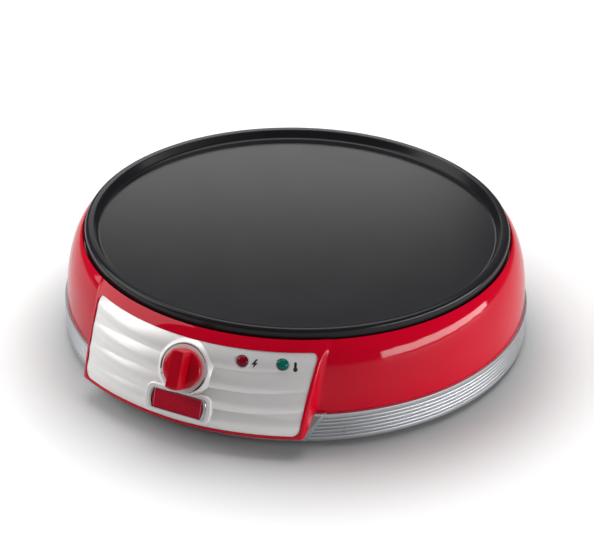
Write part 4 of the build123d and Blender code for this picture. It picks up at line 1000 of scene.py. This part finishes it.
# ------------------------------------------------------------------ heater and its reflector
# A bent steel tube heater pressed under the plate, its blades brazed in, over a dished aluminium
# sheet that keeps the heat off the mouldings. Heat has stained the steel straw and blue.
def dress(finish, *names):
    """Gives solids that stay as they are their finish."""
    for name in names:
        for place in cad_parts[name].material_slots:
            place.material = finish.material


stained = Finish("heat_stained_steel", (0.42, 0.40, 0.37), Metallic=1.0, Roughness=0.4)
stain, scale = stained.noise(14.0, 3.0), stained.noise(0.8, 4.0)
stained.feed(
    Base_Color=stained.blend(stain, (0.20, 0.21, 0.26), (0.56, 0.48, 0.36)),
    Roughness=stained.between(scale, 0.3, 0.55),
)
stained.grain(scale, 0.03, 0.3)
dress(stained, "heating_element", "thermal_fuse")

sheet_metal = Finish("rolled_aluminium", (0.72, 0.72, 0.73), Metallic=1.0, Roughness=0.3)
rolled = sheet_metal.node("Mapping", {}, {"Vector": sheet_metal.place, "Scale": (0.04, 1.0, 1.0)})
rolling = sheet_metal.noise(0.6, 3.0, rolled)
sheet_metal.feed(
    Base_Color=sheet_metal.blend(rolling, (0.62, 0.62, 0.64), (0.80, 0.80, 0.80)),
    Roughness=sheet_metal.between(rolling, 0.24, 0.4),
)
sheet_metal.grain(rolling, 0.01, 0.25)
dress(sheet_metal, "heat_reflector")


# ------------------------------------------------------------------ screws, clips and spindle
# Zinc-plated steel: the tie screws from below, the small screws and straps, the blades, the
# thermostat's bracket and spindle, and the spring clip that grips the knob.
zinc = Finish("zinc_plated_steel", (0.60, 0.60, 0.60), Metallic=1.0, Roughness=0.3)
bloom, crystals = zinc.noise(5.0, 3.0), zinc.noise(0.35, 2.0)
zinc.feed(
    Base_Color=zinc.blend(bloom, (0.50, 0.51, 0.55), (0.70, 0.69, 0.64)),
    Roughness=zinc.between(crystals, 0.22, 0.42),
)
zinc.grain(crystals, 0.01, 0.3)
dress(zinc, "tie_screws", "strap_screws", "bulb_clip", "fuse_clip", "element_pins", "thermostat_bracket",
      "thermostat_screws", "thermostat_tabs", "thermostat_spindle", "knob_clip")


# ------------------------------------------------------------------ thermostat
# A capillary thermostat behind the knob: a black phenolic body, and a thin copper tube to the
# sensing bulb that a strap holds against the plate.
phenolic = Finish("black_phenolic", (0.025, 0.022, 0.02), Roughness=0.4)
filler = phenolic.noise(0.7, 4.0)
phenolic.feed(
    Base_Color=phenolic.blend(filler, (0.015, 0.013, 0.012), (0.05, 0.043, 0.038)),
    Roughness=phenolic.between(filler, 0.32, 0.5),
)
phenolic.grain(filler, 0.02, 0.3)
dress(phenolic, "thermostat_body")

copper = Finish("bare_copper", (0.72, 0.42, 0.28), Metallic=1.0, Roughness=0.3)
tarnish = copper.noise(7.0, 4.0)
copper.feed(
    Base_Color=copper.blend(tarnish, (0.42, 0.20, 0.12), (0.80, 0.50, 0.34)),
    Roughness=copper.between(tarnish, 0.45, 0.2),
)
copper.grain(tarnish, 0.02, 0.2)
dress(copper, "capillary_tube", "sensing_bulb")


# ------------------------------------------------------------------ wiring and neon lamps
# Silicone-jacketed leads, each in its own colour, run from an ivory terminal block to push-on
# blades in ivory sleeves. The two neon lamps are clear glass with a warm tint.
ivory = Finish("ivory_nylon", (0.78, 0.75, 0.66), Roughness=0.45)
cloud = ivory.noise(6.0, 3.0)
ivory.feed(
    Base_Color=ivory.blend(cloud, (0.70, 0.67, 0.57), (0.84, 0.81, 0.73)),
    Roughness=ivory.between(cloud, 0.38, 0.52),
)
ivory.grain(cloud, 0.03, 0.2)
dress(ivory, "terminal_block", "blade_sleeves")

for name, colour in (
    ("live_lead", (0.20, 0.08, 0.03)),
    ("neutral_lead", (0.03, 0.12, 0.36)),
    ("switched_lead", (0.55, 0.03, 0.03)),
    ("fuse_lead", (0.70, 0.68, 0.62)),
):
    jacket = Finish(name + "_silicone", colour, Roughness=0.55)
    bloom = jacket.noise(1.5, 3.0)
    chalky = tuple(0.85 * part + 0.04 for part in colour)
    jacket.feed(Base_Color=jacket.blend(bloom, colour, chalky), Roughness=jacket.between(bloom, 0.45, 0.65))
    jacket.grain(bloom, 0.02, 0.3)
    dress(jacket, name)

bulb_glass = Finish("neon_bulb_glass", (0.85, 0.55, 0.40), Roughness=0.06, Transmission_Weight=0.7)
seeds = bulb_glass.noise(1.2, 2.0)
bulb_glass.feed(
    Base_Color=bulb_glass.blend(seeds, (0.80, 0.45, 0.28), (0.90, 0.66, 0.52)),
    Roughness=bulb_glass.between(seeds, 0.04, 0.1),
)
bulb_glass.grain(seeds, 0.01, 0.3)
dress(bulb_glass, "power_lamp", "ready_lamp")
